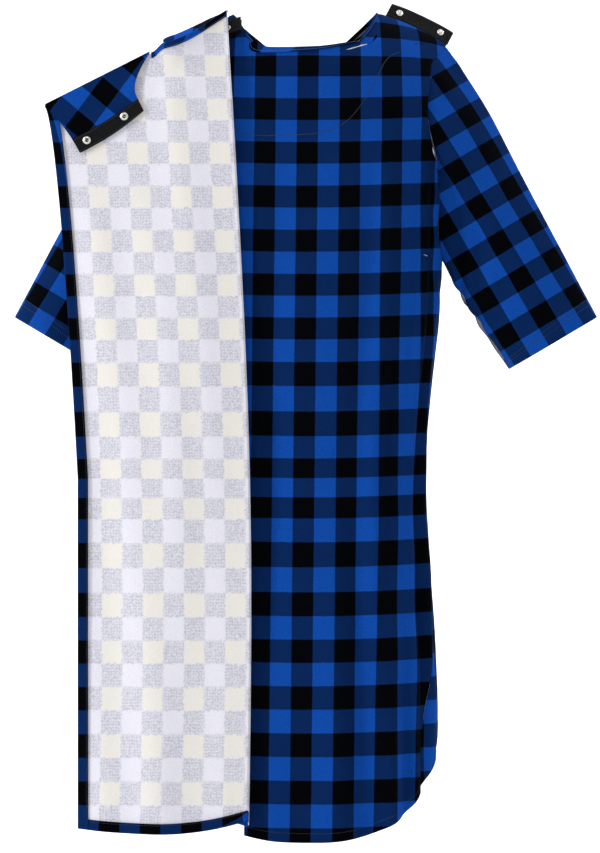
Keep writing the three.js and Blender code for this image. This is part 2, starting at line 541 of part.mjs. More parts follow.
// ---- Sleeves: tubes from the armhole to the cuff ----
const cuffUp = new THREE.Vector3(Math.cos(SLEEVE_LEAN), 0, Math.sin(SLEEVE_LEAN));
function armholeLoop(angle) {
  const middle = (TIP_LEVEL + UNDERARM_LEVEL) / 2;
  const half = (TIP_LEVEL - UNDERARM_LEVEL) / 2 - 3;
  const z = middle + half * Math.cos(angle);
  const edge = roundAt(armholeAcross(z), z);
  const p = torso(edge, z);
  p.x += SLEEVE_GAP;
  if (Math.sin(angle) < 0) p.y = -p.y;
  return p;
}
function cuffLoop(angle) {
  return CUFF_CENTRE.clone()
    .addScaledVector(cuffUp, CUFF_HALF_WIDTH * Math.cos(angle))
    .add(new THREE.Vector3(0, -CUFF_HALF_DEPTH * Math.sin(angle), 0));
}
const sleeve = (angle, s) => armholeLoop(angle).lerp(cuffLoop(angle), s);
function sleevePoint(side) {
  return (angle, s, d) => {
    const axis = armholeLoop(0).add(armholeLoop(Math.PI)).multiplyScalar(0.5).lerp(CUFF_CENTRE, s);
    const outward = sleeve(angle, s).sub(axis);
    const p = raised(sleeve, angle, Math.min(Math.max(s, 0.01), 0.99), 0, 0.02, 0.01, outward);
    const top = raised(sleeve, angle, Math.min(Math.max(s, 0.01), 0.99), d, 0.02, 0.01, outward);
    const out = sleeve(angle, s).add(top.sub(p));
    out.x *= side;
    return out;
  };
}
const SLEEVE_LENGTH = CUFF_CENTRE.distanceTo(new THREE.Vector3(SHOULDER_HALF, 0, (TIP_LEVEL + UNDERARM_LEVEL) / 2));
[["right", 1], ["left", -1]].forEach(([name, side]) => {
  const surface = sleevePoint(side);
  const hemStart = 1 - CUFF_HEM_WIDTH / SLEEVE_LENGTH;
  tube(`${name}_sleeve`, surface, 24, lines([0, hemStart, 1], [5, 1]), -CLOTH, 0, cloth);
  tube(`${name}_cuff_hem`, surface, 24, [hemStart, 1],
    -CLOTH - LAYER_GAP - FOLDED_CLOTH, -CLOTH - LAYER_GAP, cloth);
});

export default gown;
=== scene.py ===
"""Looks of the open-back patient gown: flannel, snap tapes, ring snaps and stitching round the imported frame.

The cloth follows the surfaces of the CAD solids, in millimetres, and is then draped, turned at its hems and
rolled at its folds. Every cloth piece carries the print's own coordinates, counted in checks.
"""

import math

import bpy
import numpy as np
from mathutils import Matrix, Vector


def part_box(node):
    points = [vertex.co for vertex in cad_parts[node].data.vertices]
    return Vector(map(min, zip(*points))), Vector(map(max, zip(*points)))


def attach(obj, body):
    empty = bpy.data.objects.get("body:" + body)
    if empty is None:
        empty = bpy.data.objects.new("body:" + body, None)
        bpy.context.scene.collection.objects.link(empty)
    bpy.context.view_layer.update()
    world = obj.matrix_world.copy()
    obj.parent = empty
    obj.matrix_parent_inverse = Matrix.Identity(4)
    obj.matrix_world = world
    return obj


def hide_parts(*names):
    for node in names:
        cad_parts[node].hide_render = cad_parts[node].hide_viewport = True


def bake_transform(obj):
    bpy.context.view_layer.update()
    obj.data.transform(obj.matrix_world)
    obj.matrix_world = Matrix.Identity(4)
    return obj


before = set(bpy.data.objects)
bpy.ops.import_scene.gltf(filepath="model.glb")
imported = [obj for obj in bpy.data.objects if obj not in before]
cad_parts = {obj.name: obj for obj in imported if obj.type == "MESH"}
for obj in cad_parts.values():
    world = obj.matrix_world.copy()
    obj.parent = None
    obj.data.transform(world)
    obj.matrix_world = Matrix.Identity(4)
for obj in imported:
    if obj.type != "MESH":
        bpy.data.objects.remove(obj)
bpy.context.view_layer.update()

MM = 0.001
PI = math.pi

# ---- The gown's dimensions, as in the CAD. What differs from it is in the next section ----
CLOTH = 1.2
TAPE = 1.0
LAYER_GAP = 0.8
FOLDED_CLOTH = 0.8
SEAM = 0.001
SHOULDER_SEAM = 0.4
BACK_SEAM = 0.009
NECK_HALF = 96
FRONT_NECK_LEFT = 103
NECK_POWER = 4.3
SHOULDER_HALF = 190
SHOULDER_SLOPE = 0.28
SHOULDER_BOW = 0.0018
LEFT_SLOPE = 0.62
LEFT_BOW = -0.0018
SHOULDER_ROUNDING = 120
ROUNDING_POWER = 1.6
BACK_NECK_DROP = 50
FRONT_NECK_DROP = 84
CHEST_HALF_WIDTH, WAIST_HALF_WIDTH, HEM_HALF_WIDTH = 181, 163, 176
CHEST_HALF_DEPTH, WAIST_HALF_DEPTH, HEM_HALF_DEPTH = 84, 81, 88
CHEST_LEVEL, WAIST_LEVEL = -350, -615
BACK_LENGTH, FRONT_LENGTH, OVER_LENGTH, SIDE_LENGTH = 1115, 1100, 1101, 965
HEM_CURVE = 1.84
SQUARENESS = 2.8
UNDERARM_LEVEL = -330
ARMHOLE_INSET, ARMHOLE_LOW_INSET = 17, 4.5
SEAM_DRIFT = 0.36
FREE_EDGE_TOP, FREE_EDGE_HEM = -166, -83
UNDER_INSET = 0.1
HEM_WIDTH = 13
CUFF_HEM_WIDTH = 20
BINDING_WIDTH = 7
FACING_LEVEL, FACING_END_LEVEL, FACING_HALF_WIDTH, FACING_GAP = -171, -58, 155, 2.6
BASE_LIFT, BASE_SHOULDER_LIFT, LIFT_REACH = 4.2, 7, 90
FOLD_TOP, FOLD_HEM, FOLD_BOW, FOLD_GAP = -107, -80, 14, 3
LEAF_SWEEP, LEAF_TUCK = 14, 38
LEAF_TOP_EDGE, LEAF_HEM_EDGE, LEAF_NECK_DROP = -349, -304, 46
CREASE_DROP, CREASE_INNER, CREASE_END = 58, -209, -128
FLAP_GAP, FLAP_DEPTH, FLAP_END_DEPTH, FLAP_END, FLAP_START = 3, 76, 64, 115, 13
FLAP_SAG = 3.5
TAPE_WIDTH = 20.5
TAPE_PAST_NECK = 10
TAPE_START, TAB_LIFT = 108, 1.7
TAB_WAY = np.array([0.4, 0.5, 0.768])
LEFT_TAPE_BELOW, LEFT_TAPE_DROP = 14, 18
CUFF_CENTRE = np.array([334.0, 0.0, -444.0])
SLEEVE_LEAN = math.radians(30.8)
CUFF_HALF_WIDTH, CUFF_HALF_DEPTH = 69.5, 33

# ---- Where the cloth leaves its CAD solids ----
FRONT_NECK_RAISE, FRONT_NECK_POWER = 3, 1.1   # the front neck is higher and straighter
FACING_TOP_SHARE, FACING_POWER = 0.014, 4.3   # the facing starts lower, and its half moon is squarer
CORNER_START = 84                             # from here out the leaf's neck edge bends down to the crease

# ---- Looks ----
THICK = 1.0                    # flannel as it is seen
HEM_ROLL = 0.9                 # radius of a turned hem's edge
CHECK = 28.5                   # one check across the cloth
ROW = 30.5                     # and along it, with the stretch of a hanging garment
SLEEVE_COLUMN, SLEEVE_ROW = 108, 161.6
GRID = 6.0                     # spacing of the cloth's mesh


# ---- Small helpers; all of them work on whole grids ----
def clamp01(x):
    return np.clip(x, 0.0, 1.0)


def smooth(x):
    c = clamp01(x)
    return c * c * (3 - 2 * c)


def mix(a, b, w):
    return a + (b - a) * w


def bell(x, centre, width):
    return np.exp(-(((x - centre) / width) ** 2))


def signed_power(x, p):
    return np.sign(x) * np.abs(x) ** p


def unit(v):
    return v / np.maximum(np.linalg.norm(v, axis=-1, keepdims=True), 1e-9)


def steps(start, end, spacing):
    """Evenly spaced numbers from start to end, about spacing apart."""
    return np.linspace(start, end, max(2, int(round(abs(end - start) / spacing)) + 1))


# ---- The torso. t runs round it: -1 left side, 0 back centre, 1 right side, 2 front centre, 3 left side ----
def half_width(z):
    chest = smooth((CHEST_LEVEL - z) / (CHEST_LEVEL - WAIST_LEVEL))
    return (
        CHEST_HALF_WIDTH
        + (SHOULDER_HALF - CHEST_HALF_WIDTH) * (1 - smooth(-z / 230))
        + (WAIST_HALF_WIDTH - CHEST_HALF_WIDTH) * chest
        + (HEM_HALF_WIDTH - WAIST_HALF_WIDTH) * smooth((WAIST_LEVEL - z) / 330)
    )


def half_depth(z):
    chest = smooth((CHEST_LEVEL - z) / (CHEST_LEVEL - WAIST_LEVEL))
    return (
        CHEST_HALF_DEPTH
        + (WAIST_HALF_DEPTH - CHEST_HALF_DEPTH) * chest
        + (HEM_HALF_DEPTH - WAIST_HALF_DEPTH) * smooth((WAIST_LEVEL - z) / 400)
    )


def shoulder_level(x):
    past = np.abs(x) - NECK_HALF
    left = (np.asarray(x) < 0) & (past > 0)
    slope = np.where(left, LEFT_SLOPE, SHOULDER_SLOPE)
    bow = np.where(left, LEFT_BOW, SHOULDER_BOW)
    return -slope * past - bow * np.maximum(past, 0) ** 2


def rounding(x, z):
    below = clamp01((shoulder_level(x) - z) / SHOULDER_ROUNDING)
    return (1 - (1 - below) ** ROUNDING_POWER) ** (1 / ROUNDING_POWER)


def torso(t, z):
    a = PI / 2 * t
    x = half_width(z) * signed_power(np.sin(a), 2 / SQUARENESS)
    y = -half_depth(z) * signed_power(np.cos(a), 2 / SQUARENESS) * rounding(x, z)
    seam = SHOULDER_SEAM * (1 - smooth((shoulder_level(x) - z) / 20)) * np.sign(np.cos(a))
    return np.stack([x, y - seam, z + 0 * x], -1)


def lifted(surface, t, z, d):
    """The surface raised by d, away from the wearer."""
    across = surface(t + 0.004, z) - surface(t - 0.004, z)
    along = surface(t, z + 1.5) - surface(t, z - 1.5)
    normal = unit(np.cross(across, along))
    p = surface(t, z)
    away = p.copy()
    away[..., 2] = 0.6 * half_depth(z) * (1 - rounding(p[..., 0], z))
    normal *= np.sign(np.sum(normal * away, -1, keepdims=True))
    return p + normal * np.asarray(d)[..., None]


def drape(t, z):
    """Soft folds of the hanging cloth: long ones down it, drag lines, and small ones at the underarms."""
    low = smooth((-430 - z) / 560)
    turn = PI / 2 * t
    folds = 4.4 * np.sin(11 * turn + 0.5 * np.sin(z / 190) + 0.6)
    folds = folds + 2.2 * np.sin(18 * turn + z / 260 + 2.0)
    chest = 1.1 * np.sin(7 * turn + z / 95) * smooth((-120 - z) / 120) * (1 - low)
    open_back = smooth((t + 0.2) / 0.14) * (1 - smooth((t - 0.86) / 0.12))
    hang = smooth((-90 - z) / 240)
    folds_back = 2.6 * np.sin(15 * turn + 0.9 * np.sin(z / 150) + 0.4) + 1.5 * np.sin(25 * turn - z / 210)
    drag = 1.5 * np.sin((z + 150 * t) / 27) * bell(z, -760, 210) * smooth((t + 0.1) / 0.2)
    arm = bell(np.minimum(np.abs(t - 1), np.abs(np.abs(t) - 1)), 0.1, 0.16)
    arm = arm * bell(z, -300, 95) * 2.0 * np.sin(z / 11 + 9 * turn)
    fine = 0.35 * np.sin(23 * turn + z / 37) * np.sin(z / 29 - 5 * turn)
    return low * folds + chest + open_back * (hang * folds_back + drag) + arm + fine * smooth((-70 - z) / 60)


def skin(t, z):
    return lifted(torso, t, z, drape(t, z))


def on_torso(t, z, d):
    return lifted(skin, t, z, d)


def round_at(x, z):
    share = clamp01(np.abs(x) / half_width(z))
    return np.sign(x) * np.arcsin(share ** (SQUARENESS / 2)) * (2 / PI)


TIP_LEVEL = float(shoulder_level(SHOULDER_HALF))


def armhole_across(z):
    down = clamp01((TIP_LEVEL - z) / (TIP_LEVEL - UNDERARM_LEVEL))
    high = ARMHOLE_INSET * smooth(down / 0.1) * (1 - smooth((down - 0.3) / 0.32))
    return half_width(z) - high - ARMHOLE_LOW_INSET * np.sqrt(np.abs(np.sin(PI * down)))


def side_edge(z):
    at_armhole = np.minimum(1 - SEAM, round_at(armhole_across(z), z))
    return np.where(z > UNDERARM_LEVEL, at_armhole, 1 - SEAM)


def right_seam(z):
    return side_edge(z) - SEAM_DRIFT * smooth((WAIST_LEVEL - z) / 420)


def hem_level(t, length):
    c = np.where(np.abs(t) > 1, np.abs(2 - np.abs(t)), np.abs(t))
    return -length + (length - SIDE_LENGTH) * c**HEM_CURVE


BACK_NECK = (NECK_HALF, BACK_NECK_DROP, NECK_POWER)
FRONT_NECK = (FRONT_NECK_LEFT, FRONT_NECK_DROP - FRONT_NECK_RAISE, FRONT_NECK_POWER)


def top_level(x, neck):
    left, drop, power = neck
    half = np.where(x < 0, left, NECK_HALF)
    share = np.minimum(np.abs(x) / half, 1)
    end = shoulder_level(np.sign(x) * half)
    return np.where(np.abs(x) < half, end - (drop + end) * (1 - share**power), shoulder_level(x))


# ---- The print. Columns are counted from the arc round the torso, rows from the level ----
LEVELS = np.linspace(20, -1140, 117)
ROUNDS = np.linspace(-1.3, 3.3, 921)
plan = torso(*np.meshgrid(ROUNDS, LEVELS))[..., :2]
ARC = np.cumsum(np.pad(np.linalg.norm(np.diff(plan, axis=1), axis=-1), ((0, 0), (1, 0))), axis=1)
ARC = ARC - ARC[:, [int(np.argmin(np.abs(ROUNDS)))]]


def around(t, z):
    """Arc length round the torso from the middle of the back, at a level."""
    i = np.clip((LEVELS[0] - z) / (LEVELS[0] - LEVELS[-1]) * (len(LEVELS) - 1), 0, len(LEVELS) - 1.001)
    j = np.clip((t - ROUNDS[0]) / (ROUNDS[-1] - ROUNDS[0]) * (len(ROUNDS) - 1), 0, len(ROUNDS) - 1.001)
    i0, j0 = i.astype(int), j.astype(int)
    a = mix(ARC[i0, j0], ARC[i0, j0 + 1], j - j0)
    b = mix(ARC[i0 + 1, j0], ARC[i0 + 1, j0 + 1], j - j0)
    return mix(a, b, i - i0)


ROW_COUNT = 34
row_numbers = np.arange(-8, ROW_COUNT + 4)
down_share = np.clip(row_numbers / ROW_COUNT, 0, 1)
row_depths = (
    60.3
    + ROW * row_numbers
    - 14 * np.sin(PI * down_share)
    - 8 * np.sin(2 * PI * (down_share - 0.57) / 0.27) * bell(down_share, 0.55, 0.14)
)


def rows(depth):
    """Row coordinate of the print at a depth below the neck points."""
    return np.interp(depth, row_depths, row_numbers)


DROPS = np.linspace(0, SHOULDER_ROUNDING, 121)
profile = CHEST_HALF_DEPTH * (1 - (1 - DROPS / SHOULDER_ROUNDING) ** ROUNDING_POWER) ** (1 / ROUNDING_POWER)
EXTRA = np.pad(np.cumsum(np.hypot(np.diff(DROPS), np.diff(profile)) - np.diff(DROPS)), (1, 0))
SHOULDER_CLOTH = float(np.interp(87, DROPS, EXTRA))


def torso_print(t, z, x):
    over = np.interp(shoulder_level(x) - z, DROPS, EXTRA) - SHOULDER_CLOTH
    columns = (around(t, z) + 11.7 + 0.0104 * (-z - 107)) / CHECK
    return np.stack([columns, rows(-z + over + 6 * (x / 180) ** 2)], -1)


# ---- Meshes ----
def new_object(name, points, faces, prints=None, picks=None, materials=(), sharp=50):
    """A mesh object from points in millimetres; prints are the print's coordinates at each point."""
    mesh = bpy.data.meshes.new(name)
    mesh.from_pydata((np.asarray(points) * MM).tolist(), [], [list(map(int, f)) for f in faces])
    for m in materials:
        mesh.materials.append(m)
    if picks is not None:
        mesh.polygons.foreach_set("material_index", np.asarray(picks, np.int32))
    if prints is not None:
        corner = np.zeros(len(mesh.loops), np.int32)
        mesh.loops.foreach_get("vertex_index", corner)
        layer = mesh.uv_layers.new(name="print")
        layer.data.foreach_set("uv", np.asarray(prints, np.float32)[corner].ravel())
    mesh.polygons.foreach_set("use_smooth", np.ones(len(mesh.polygons), bool))
    mesh.update()
    mesh.set_sharp_from_angle(angle=math.radians(sharp))
    o = bpy.data.objects.new(name, mesh)
    bpy.context.scene.collection.objects.link(o)
    return o


def grid_normals(p, wrap=False):
    if wrap:
        p = np.concatenate([p[-2:-1], p, p[1:2]], axis=0)
    n = unit(np.cross(np.gradient(p, axis=0), np.gradient(p, axis=1)))
    return n[1:-1] if wrap else n


def cloth(name, mid, front, prints, materials, thick=THICK, wrap=False):
    """A closed sheet of cloth round a grid of points. front is the way its right side faces in the middle."""
    n, m = mid.shape[:2]
    normal = grid_normals(mid, wrap)
    if np.dot(normal[n // 2, m // 2], front) < 0:
        normal = -normal
    points = np.concatenate([(mid + normal * s * thick / 2).reshape(-1, 3) for s in (1, -1)])
    ids = np.arange(n * m).reshape(n, m)
    q = np.stack([ids[:-1, :-1], ids[1:, :-1], ids[1:, 1:], ids[:-1, 1:]], -1).reshape(-1, 4)
    k = n * m
    centre = mid[n // 2, m // 2]
    across = np.cross(mid[n // 2 + 1, m // 2] - centre, mid[n // 2, m // 2 + 1] - centre)
    right, wrong = (q, q[:, ::-1] + k) if np.dot(across, normal[n // 2, m // 2]) > 0 else (q[:, ::-1], q + k)
    rims = []
    for line in (ids[:, 0], ids[::-1, -1], ids[0, ::-1], ids[-1, :]):
        rims.append(np.stack([line[:-1], line[:-1] + k, line[1:] + k, line[1:]], -1))
    rim = np.concatenate(rims)
    if np.dot(across, normal[n // 2, m // 2]) > 0:
        rim = rim[:, ::-1]
    rim = rim[:, ::-1]
    faces = np.concatenate([right, wrong, rim])
    picks = np.repeat([0, 1, 0], [len(right), len(wrong), len(rim)])
    both = np.concatenate([prints.reshape(-1, 2)] * 2)
    return new_object(name, points, faces, both, picks, materials)


def turned(past, roll, offset=0.0):
    """Past an edge, cloth turns over a roll and lies back: its distance beyond the edge, and behind."""
    a = np.clip(past / roll, 0, PI)
    back = np.maximum(past - PI * roll, 0)
    return (roll - offset) * np.sin(a) - back, np.where(past > 0, roll - (roll - offset) * np.cos(a), offset)


def hem_rows(width, roll):
    """Distances past an edge, close together over its roll."""
    over = steps(0, PI * roll, PI * roll / 6)[1:]
    return np.concatenate([over, PI * roll + steps(0, width, width / 3)[1:]])


def lathe(name, outline, seat, way, material, around_steps=40):
    """A turned piece: outline is radius and height in millimetres, from its seat along way."""
    outline = np.array(outline, float)
    turn = np.linspace(0, 2 * PI, around_steps, endpoint=False)
    way = unit(np.array(way, float))
    side = unit(np.cross(way, [0.31, 0.52, 0.79]))
    up = np.cross(way, side)
    ring = np.cos(turn)[:, None] * side + np.sin(turn)[:, None] * up
    points = np.array(seat) + outline[None, :, 0, None] * ring[:, None] + outline[None, :, 1, None] * way
    n, m = points.shape[:2]
    faces = []
    for i in range(n):
        j = (i + 1) % n
        for k in range(m - 1):
            faces.append((i * m + k, j * m + k, j * m + k + 1, i * m + k + 1))
    return new_object(name, points.reshape(-1, 3), faces, None, None, [material], sharp=40)


def stitch_line(name, points, normals, material, pitch=3.3, length=2.3, radius=0.27):
    """A row of small thread arches along a line on the cloth."""
    points, normals = np.asarray(points, float), np.asarray(normals, float)
    run = np.pad(np.cumsum(np.linalg.norm(np.diff(points, axis=0), axis=1)), (1, 0))
    marks = np.arange(pitch / 2, run[-1] - pitch / 2, pitch)
    at = np.stack([np.interp(marks, run, points[:, k]) for k in range(3)], -1)
    ahead = np.stack([np.interp(marks + 0.5, run, points[:, k]) for k in range(3)], -1)
    up = unit(np.stack([np.interp(marks, run, normals[:, k]) for k in range(3)], -1))
    way = unit(ahead - at)
    side = np.cross(way, up)
    along = np.array([-0.5, -0.38, 0, 0.38, 0.5]) * length
    height = np.array([-0.15, 0.12, 0.2, 0.12, -0.15])
    size = np.array([0.35, 1, 1.15, 1, 0.35]) * radius
    turn = np.linspace(0, 2 * PI, 6, endpoint=False)
    out = []
    for k in range(5):
        middle = at + way * along[k] + up * height[k]
        for a in turn:
            out.append(middle + size[k] * (math.cos(a) * side + math.sin(a) * up * 0.8))
    verts = np.stack(out, 1).reshape(-1, 3)
    faces = []
    for i in range(len(marks)):
        base = i * 30
        for k in range(4):
            for j in range(6):
                n = (j + 1) % 6
                faces.append((base + k * 6 + j, base + k * 6 + n, base + k * 6 + 6 + n, base + k * 6 + 6 + j))
        faces.append([base + j for j in range(6)][::-1])
        faces.append([base + 24 + j for j in range(6)])
    return new_object(name, verts, faces, None, None, [material], sharp=80)


# ---- Materials ----
def linear(*rgb):
    """A colour given in display values from 0 to 255."""
    out = []
    for c in rgb:
        c = c / 255
        out.append(c / 12.92 if c <= 0.04045 else ((c + 0.055) / 1.055) ** 2.4)
    return (*out, 1.0)


class Nodes:
    """A material's nodes, made and joined by short calls."""

    def __init__(self, name):
        self.material = bpy.data.materials.new(name)
        self.material.use_nodes = True
        self.tree = self.material.node_tree
        self.shader = self.tree.nodes["Principled BSDF"]

    def set(self, socket, value):
        if isinstance(value, bpy.types.NodeSocket):
            self.tree.links.new(value, socket)
        else:
            socket.default_value = value

    def add(self, kind, *inputs, **settings):
        node = self.tree.nodes.new(kind)
        for key, value in settings.items():
            setattr(node, key, value)
        for k, value in enumerate(inputs):
            if value is not None:
                self.set(node.inputs[k], value)
        return node

    def math(self, operation, *inputs):
        return self.add("ShaderNodeMath", *inputs, operation=operation).outputs[0]

    def ramp(self, value, low, high, start=0.0, end=1.0):
        """value from low to high, eased, as start to end."""
        node = self.add("ShaderNodeMapRange", value, low, high, start, end, interpolation_type="SMOOTHSTEP")
        return node.outputs[0]

    def blend(self, share, a, b, mode="MIX"):
        node = self.add("ShaderNodeMix", data_type="RGBA", blend_type=mode, clamp_factor=True)
        self.set(node.inputs["Factor"], share)
        self.set(node.inputs[6], a)
        self.set(node.inputs[7], b)
        return node.outputs[2]

    def noise(self, scale, detail=3, roughness=0.55, vector=None):
        node = self.add("ShaderNodeTexNoise")
        node.inputs["Scale"].default_value = scale
        node.inputs["Detail"].default_value = detail
        node.inputs["Roughness"].default_value = roughness
        if vector is not None:
            self.set(node.inputs["Vector"], vector)
        return node.outputs[0]

    def object_place(self):
        return self.add("ShaderNodeTexCoord").outputs["Object"]

    def bump(self, height, strength, distance, under=None):
        node = self.add("ShaderNodeBump")
        node.inputs["Strength"].default_value = strength
        node.inputs["Distance"].default_value = distance
        self.set(node.inputs["Height"], height)
        if under is not None:
            self.set(node.inputs["Normal"], under)
        return node.outputs[0]

    def shade(self, **inputs):
        for key, value in inputs.items():
            self.set(self.shader.inputs[key.replace("_", " ")], value)
        return self.material


def checks(n, wander, edge=0.015):
    """The print's coordinates and, for columns and rows, 1 on the dark stripes and 0 between them."""
    place = n.add("ShaderNodeUVMap", uv_map="print").outputs[0]
    parts = n.add("ShaderNodeSeparateXYZ", place)
    drift = n.math("MULTIPLY", n.math("SUBTRACT", n.noise(260, 4, 0.6, n.object_place()), 0.5), wander)
    columns = n.math("ADD", parts.outputs[0], drift)
    rows_ = n.math("ADD", parts.outputs[1], drift)
    dark = []
    for value in (columns, rows_):
        swing = n.math("PINGPONG", n.math("SUBTRACT", value, 0.5), 1.0)
        dark.append(n.ramp(swing, 0.5 - edge, 0.5 + edge, 1.0, 0.0))
    return place, columns, rows_, dark[0], dark[1]


def thread_bump(n, place, nap):
    """Height of a brushed twill: fine threads both ways under a soft nap."""
    parts = n.add("ShaderNodeSeparateXYZ", place)
    lines = []
    for value in (parts.outputs[0], parts.outputs[1]):
        lines.append(n.math("PINGPONG", n.math("MULTIPLY", value, 34.0), 1.0))
    threads = n.math("MULTIPLY", lines[0], lines[1])
    return n.math("ADD", n.math("MULTIPLY", threads, 0.35), n.math("MULTIPLY", nap, 0.65))


def print_material(name):
    """The cloth's right side: blue and black checks, and between them half-tone ones of fine diagonals."""
    n = Nodes(name)
    place, columns, rows_, dark_column, dark_row = checks(n, 0.05)
    both = n.math("MULTIPLY", dark_column, dark_row)
    either = n.math("MAXIMUM", dark_column, dark_row)
    nap = n.noise(820, 5, 0.7, n.object_place())
    patch = n.noise(46, 3, 0.5, n.object_place())
    diagonal = n.math("MULTIPLY", n.math("ADD", columns, rows_), 15.0)
    hatch = n.ramp(n.math("PINGPONG", diagonal, 1.0), 0.25, 0.75)
    fade = n.ramp(nap, 0.3, 0.7)
    blue = n.blend(fade, linear(8, 54, 130), linear(16, 74, 164))
    blue = n.blend(n.ramp(patch, 0.35, 0.75, 0.0, 0.6), blue, linear(13, 66, 150))
    half = n.blend(n.math("MULTIPLY", hatch, 0.42), linear(7, 36, 84), linear(1, 12, 34))
    half = n.blend(n.ramp(nap, 0.45, 0.75, 0.0, 0.3), half, linear(10, 48, 108))
    black = n.blend(fade, linear(0, 0, 1), linear(2, 3, 6))
    colour = n.blend(both, n.blend(either, blue, half), black)
    height = thread_bump(n, place, nap)
    soft = n.bump(height, 0.35, 0.0006)
    return n.shade(Base_Color=colour, Roughness=0.93, Normal=soft, Sheen_Weight=0.02, Sheen_Roughness=0.5,
                   Specular_IOR_Level=0.03, Sheen_Tint=linear(120, 150, 220))


def wrong_side_material(name):
    """The cloth's wrong side: pale nap through which the print's checks show faintly."""
    n = Nodes(name)
    place, columns, rows_, dark_column, dark_row = checks(n, 0.34, 0.05)
    both = n.math("MULTIPLY", dark_column, dark_row)
    either = n.math("MAXIMUM", dark_column, dark_row)
    only_one = n.math("SUBTRACT", either, both)
    nap = n.noise(900, 5, 0.7, n.object_place())
    speck = n.noise(430, 4, 0.75, n.object_place())
    patch = n.noise(30, 3, 0.5, n.object_place())
    wobble = n.math("MULTIPLY", n.math("SUBTRACT", speck, 0.5), 1.6)
    across = n.math("PINGPONG", n.math("ADD", n.math("MULTIPLY", rows_, 15.0), wobble), 1.0)
    down = n.math("PINGPONG", n.math("ADD", n.math("MULTIPLY", columns, 15.0), wobble), 1.0)
    mesh = n.math("MULTIPLY", n.ramp(across, 0.2, 0.8), n.ramp(down, 0.1, 0.7))
    dots = n.math("MULTIPLY", n.math("SUBTRACT", 1.0, mesh), n.ramp(speck, 0.34, 0.58))
    pale = n.blend(n.ramp(nap, 0.35, 0.65), linear(203, 202, 213), linear(219, 218, 227))
    cream = n.blend(n.ramp(nap, 0.35, 0.65), linear(209, 205, 200), linear(221, 217, 210))
    grey = n.blend(dots, linear(207, 206, 215), linear(172, 172, 184))
    colour = n.blend(both, pale, cream)
    colour = n.blend(only_one, colour, grey)
    colour = n.blend(n.ramp(patch, 0.4, 0.75, 0.0, 0.12), colour, linear(196, 196, 208))
    height = thread_bump(n, place, nap)
    soft = n.bump(height, 0.4, 0.0007)
    return n.shade(Base_Color=colour, Roughness=0.95, Normal=soft, Sheen_Weight=0.1, Sheen_Roughness=0.5,
                   Specular_IOR_Level=0.1)


def tape_material(name):
    """Black woven tape with a diagonal twill and a slightly worn surface."""
    n = Nodes(name)
    place = n.add("ShaderNodeUVMap", uv_map="print").outputs[0]
    parts = n.add("ShaderNodeSeparateXYZ", place)
    slant = n.math("ADD", parts.outputs[0], parts.outputs[1])
    ribs = n.math("PINGPONG", n.math("MULTIPLY", slant, 26.0), 1.0)
    cross = n.math("PINGPONG", n.math("MULTIPLY", parts.outputs[0], 44.0), 1.0)
    worn = n.noise(300, 4, 0.6, n.object_place())
    height = n.math("ADD", ribs, n.math("MULTIPLY", cross, 0.4))
    colour = n.blend(n.ramp(ribs, 0.2, 0.9), linear(1, 2, 3), linear(8, 9, 12))
    colour = n.blend(n.ramp(worn, 0.5, 0.8, 0.0, 0.5), colour, linear(14, 16, 20))
    soft = n.bump(height, 0.5, 0.0004)
    return n.shade(Base_Color=colour, Roughness=n.ramp(worn, 0.3, 0.7, 0.6, 0.8), Normal=soft,
                   Sheen_Weight=0.01, Specular_IOR_Level=0.12)


def metal_material(name):
    """Pressed nickel-plated brass, a little dulled by wear."""
    n = Nodes(name)
    worn = n.noise(700, 4, 0.6, n.object_place())
    scuffs = n.noise(2600, 2, 0.6, n.object_place())
    colour = n.blend(n.ramp(worn, 0.4, 0.7), linear(226, 226, 220), linear(196, 194, 184))
    return n.shade(Base_Color=colour, Metallic=1.0, Roughness=n.ramp(worn, 0.3, 0.7, 0.2, 0.36),
                   Normal=n.bump(scuffs, 0.12, 0.0001))


def thread_material(name, dark, light):
    """Spun thread: fine slanting plies."""
    n = Nodes(name)
    plies = n.noise(2400, 3, 0.6, n.object_place())
    colour = n.blend(n.ramp(plies, 0.35, 0.65), dark, light)
    return n.shade(Base_Color=colour, Roughness=0.7, Normal=n.bump(plies, 0.4, 0.0002), Sheen_Weight=0.1)


def floor_material(name):
    """Plain pale studio paper."""
    n = Nodes(name)
    grain = n.noise(180, 3, 0.6, n.object_place())
    colour = n.blend(n.ramp(grain, 0.3, 0.7), linear(250, 250, 250), linear(252, 252, 252))
    return n.shade(Base_Color=colour, Roughness=0.95, Specular_IOR_Level=0.0)


PRINT = print_material("flannel_print")
WRONG = wrong_side_material("flannel_wrong")
TWILL = tape_material("black_twill")
METAL = metal_material("nickel")
DARK_THREAD = thread_material("thread_black", linear(4, 5, 9), linear(22, 26, 38))
BLUE_THREAD = thread_material("thread_blue", linear(22, 48, 110), linear(60, 100, 176))
FLANNEL = [PRINT, WRONG]
BACK_WAY = np.array([0.0, -1.0, 0.0])


# ---- Torso panels ----
def panel(left, right, neck, length):
    """Returns place(f, v, d): t, level and height of a panel's point. Past v = 1 the hem is turned in."""

    def place(f, v, d=CLOTH / 2):
        f, v = np.broadcast_arrays(f, v)
        top_round = mix(left(TIP_LEVEL), right(TIP_LEVEL), f)
        top_across = SHOULDER_HALF * signed_power(np.sin(PI / 2 * top_round), 2 / SQUARENESS)
        bottom = hem_level(mix(left(-length), right(-length), f), length)
        beyond, behind = turned(np.maximum(v - 1, 0) * 1000, HEM_ROLL)
        z = mix(top_level(top_across, neck), bottom, np.minimum(v, 1)) - beyond
        return mix(left(z), right(z), f), z, d - behind

    return place


def seam_dip(distance, depth=0.9, width=2.6):
    """Cloth sinks a little towards a seam."""
    return -depth * np.exp(-((distance / width) ** 2))


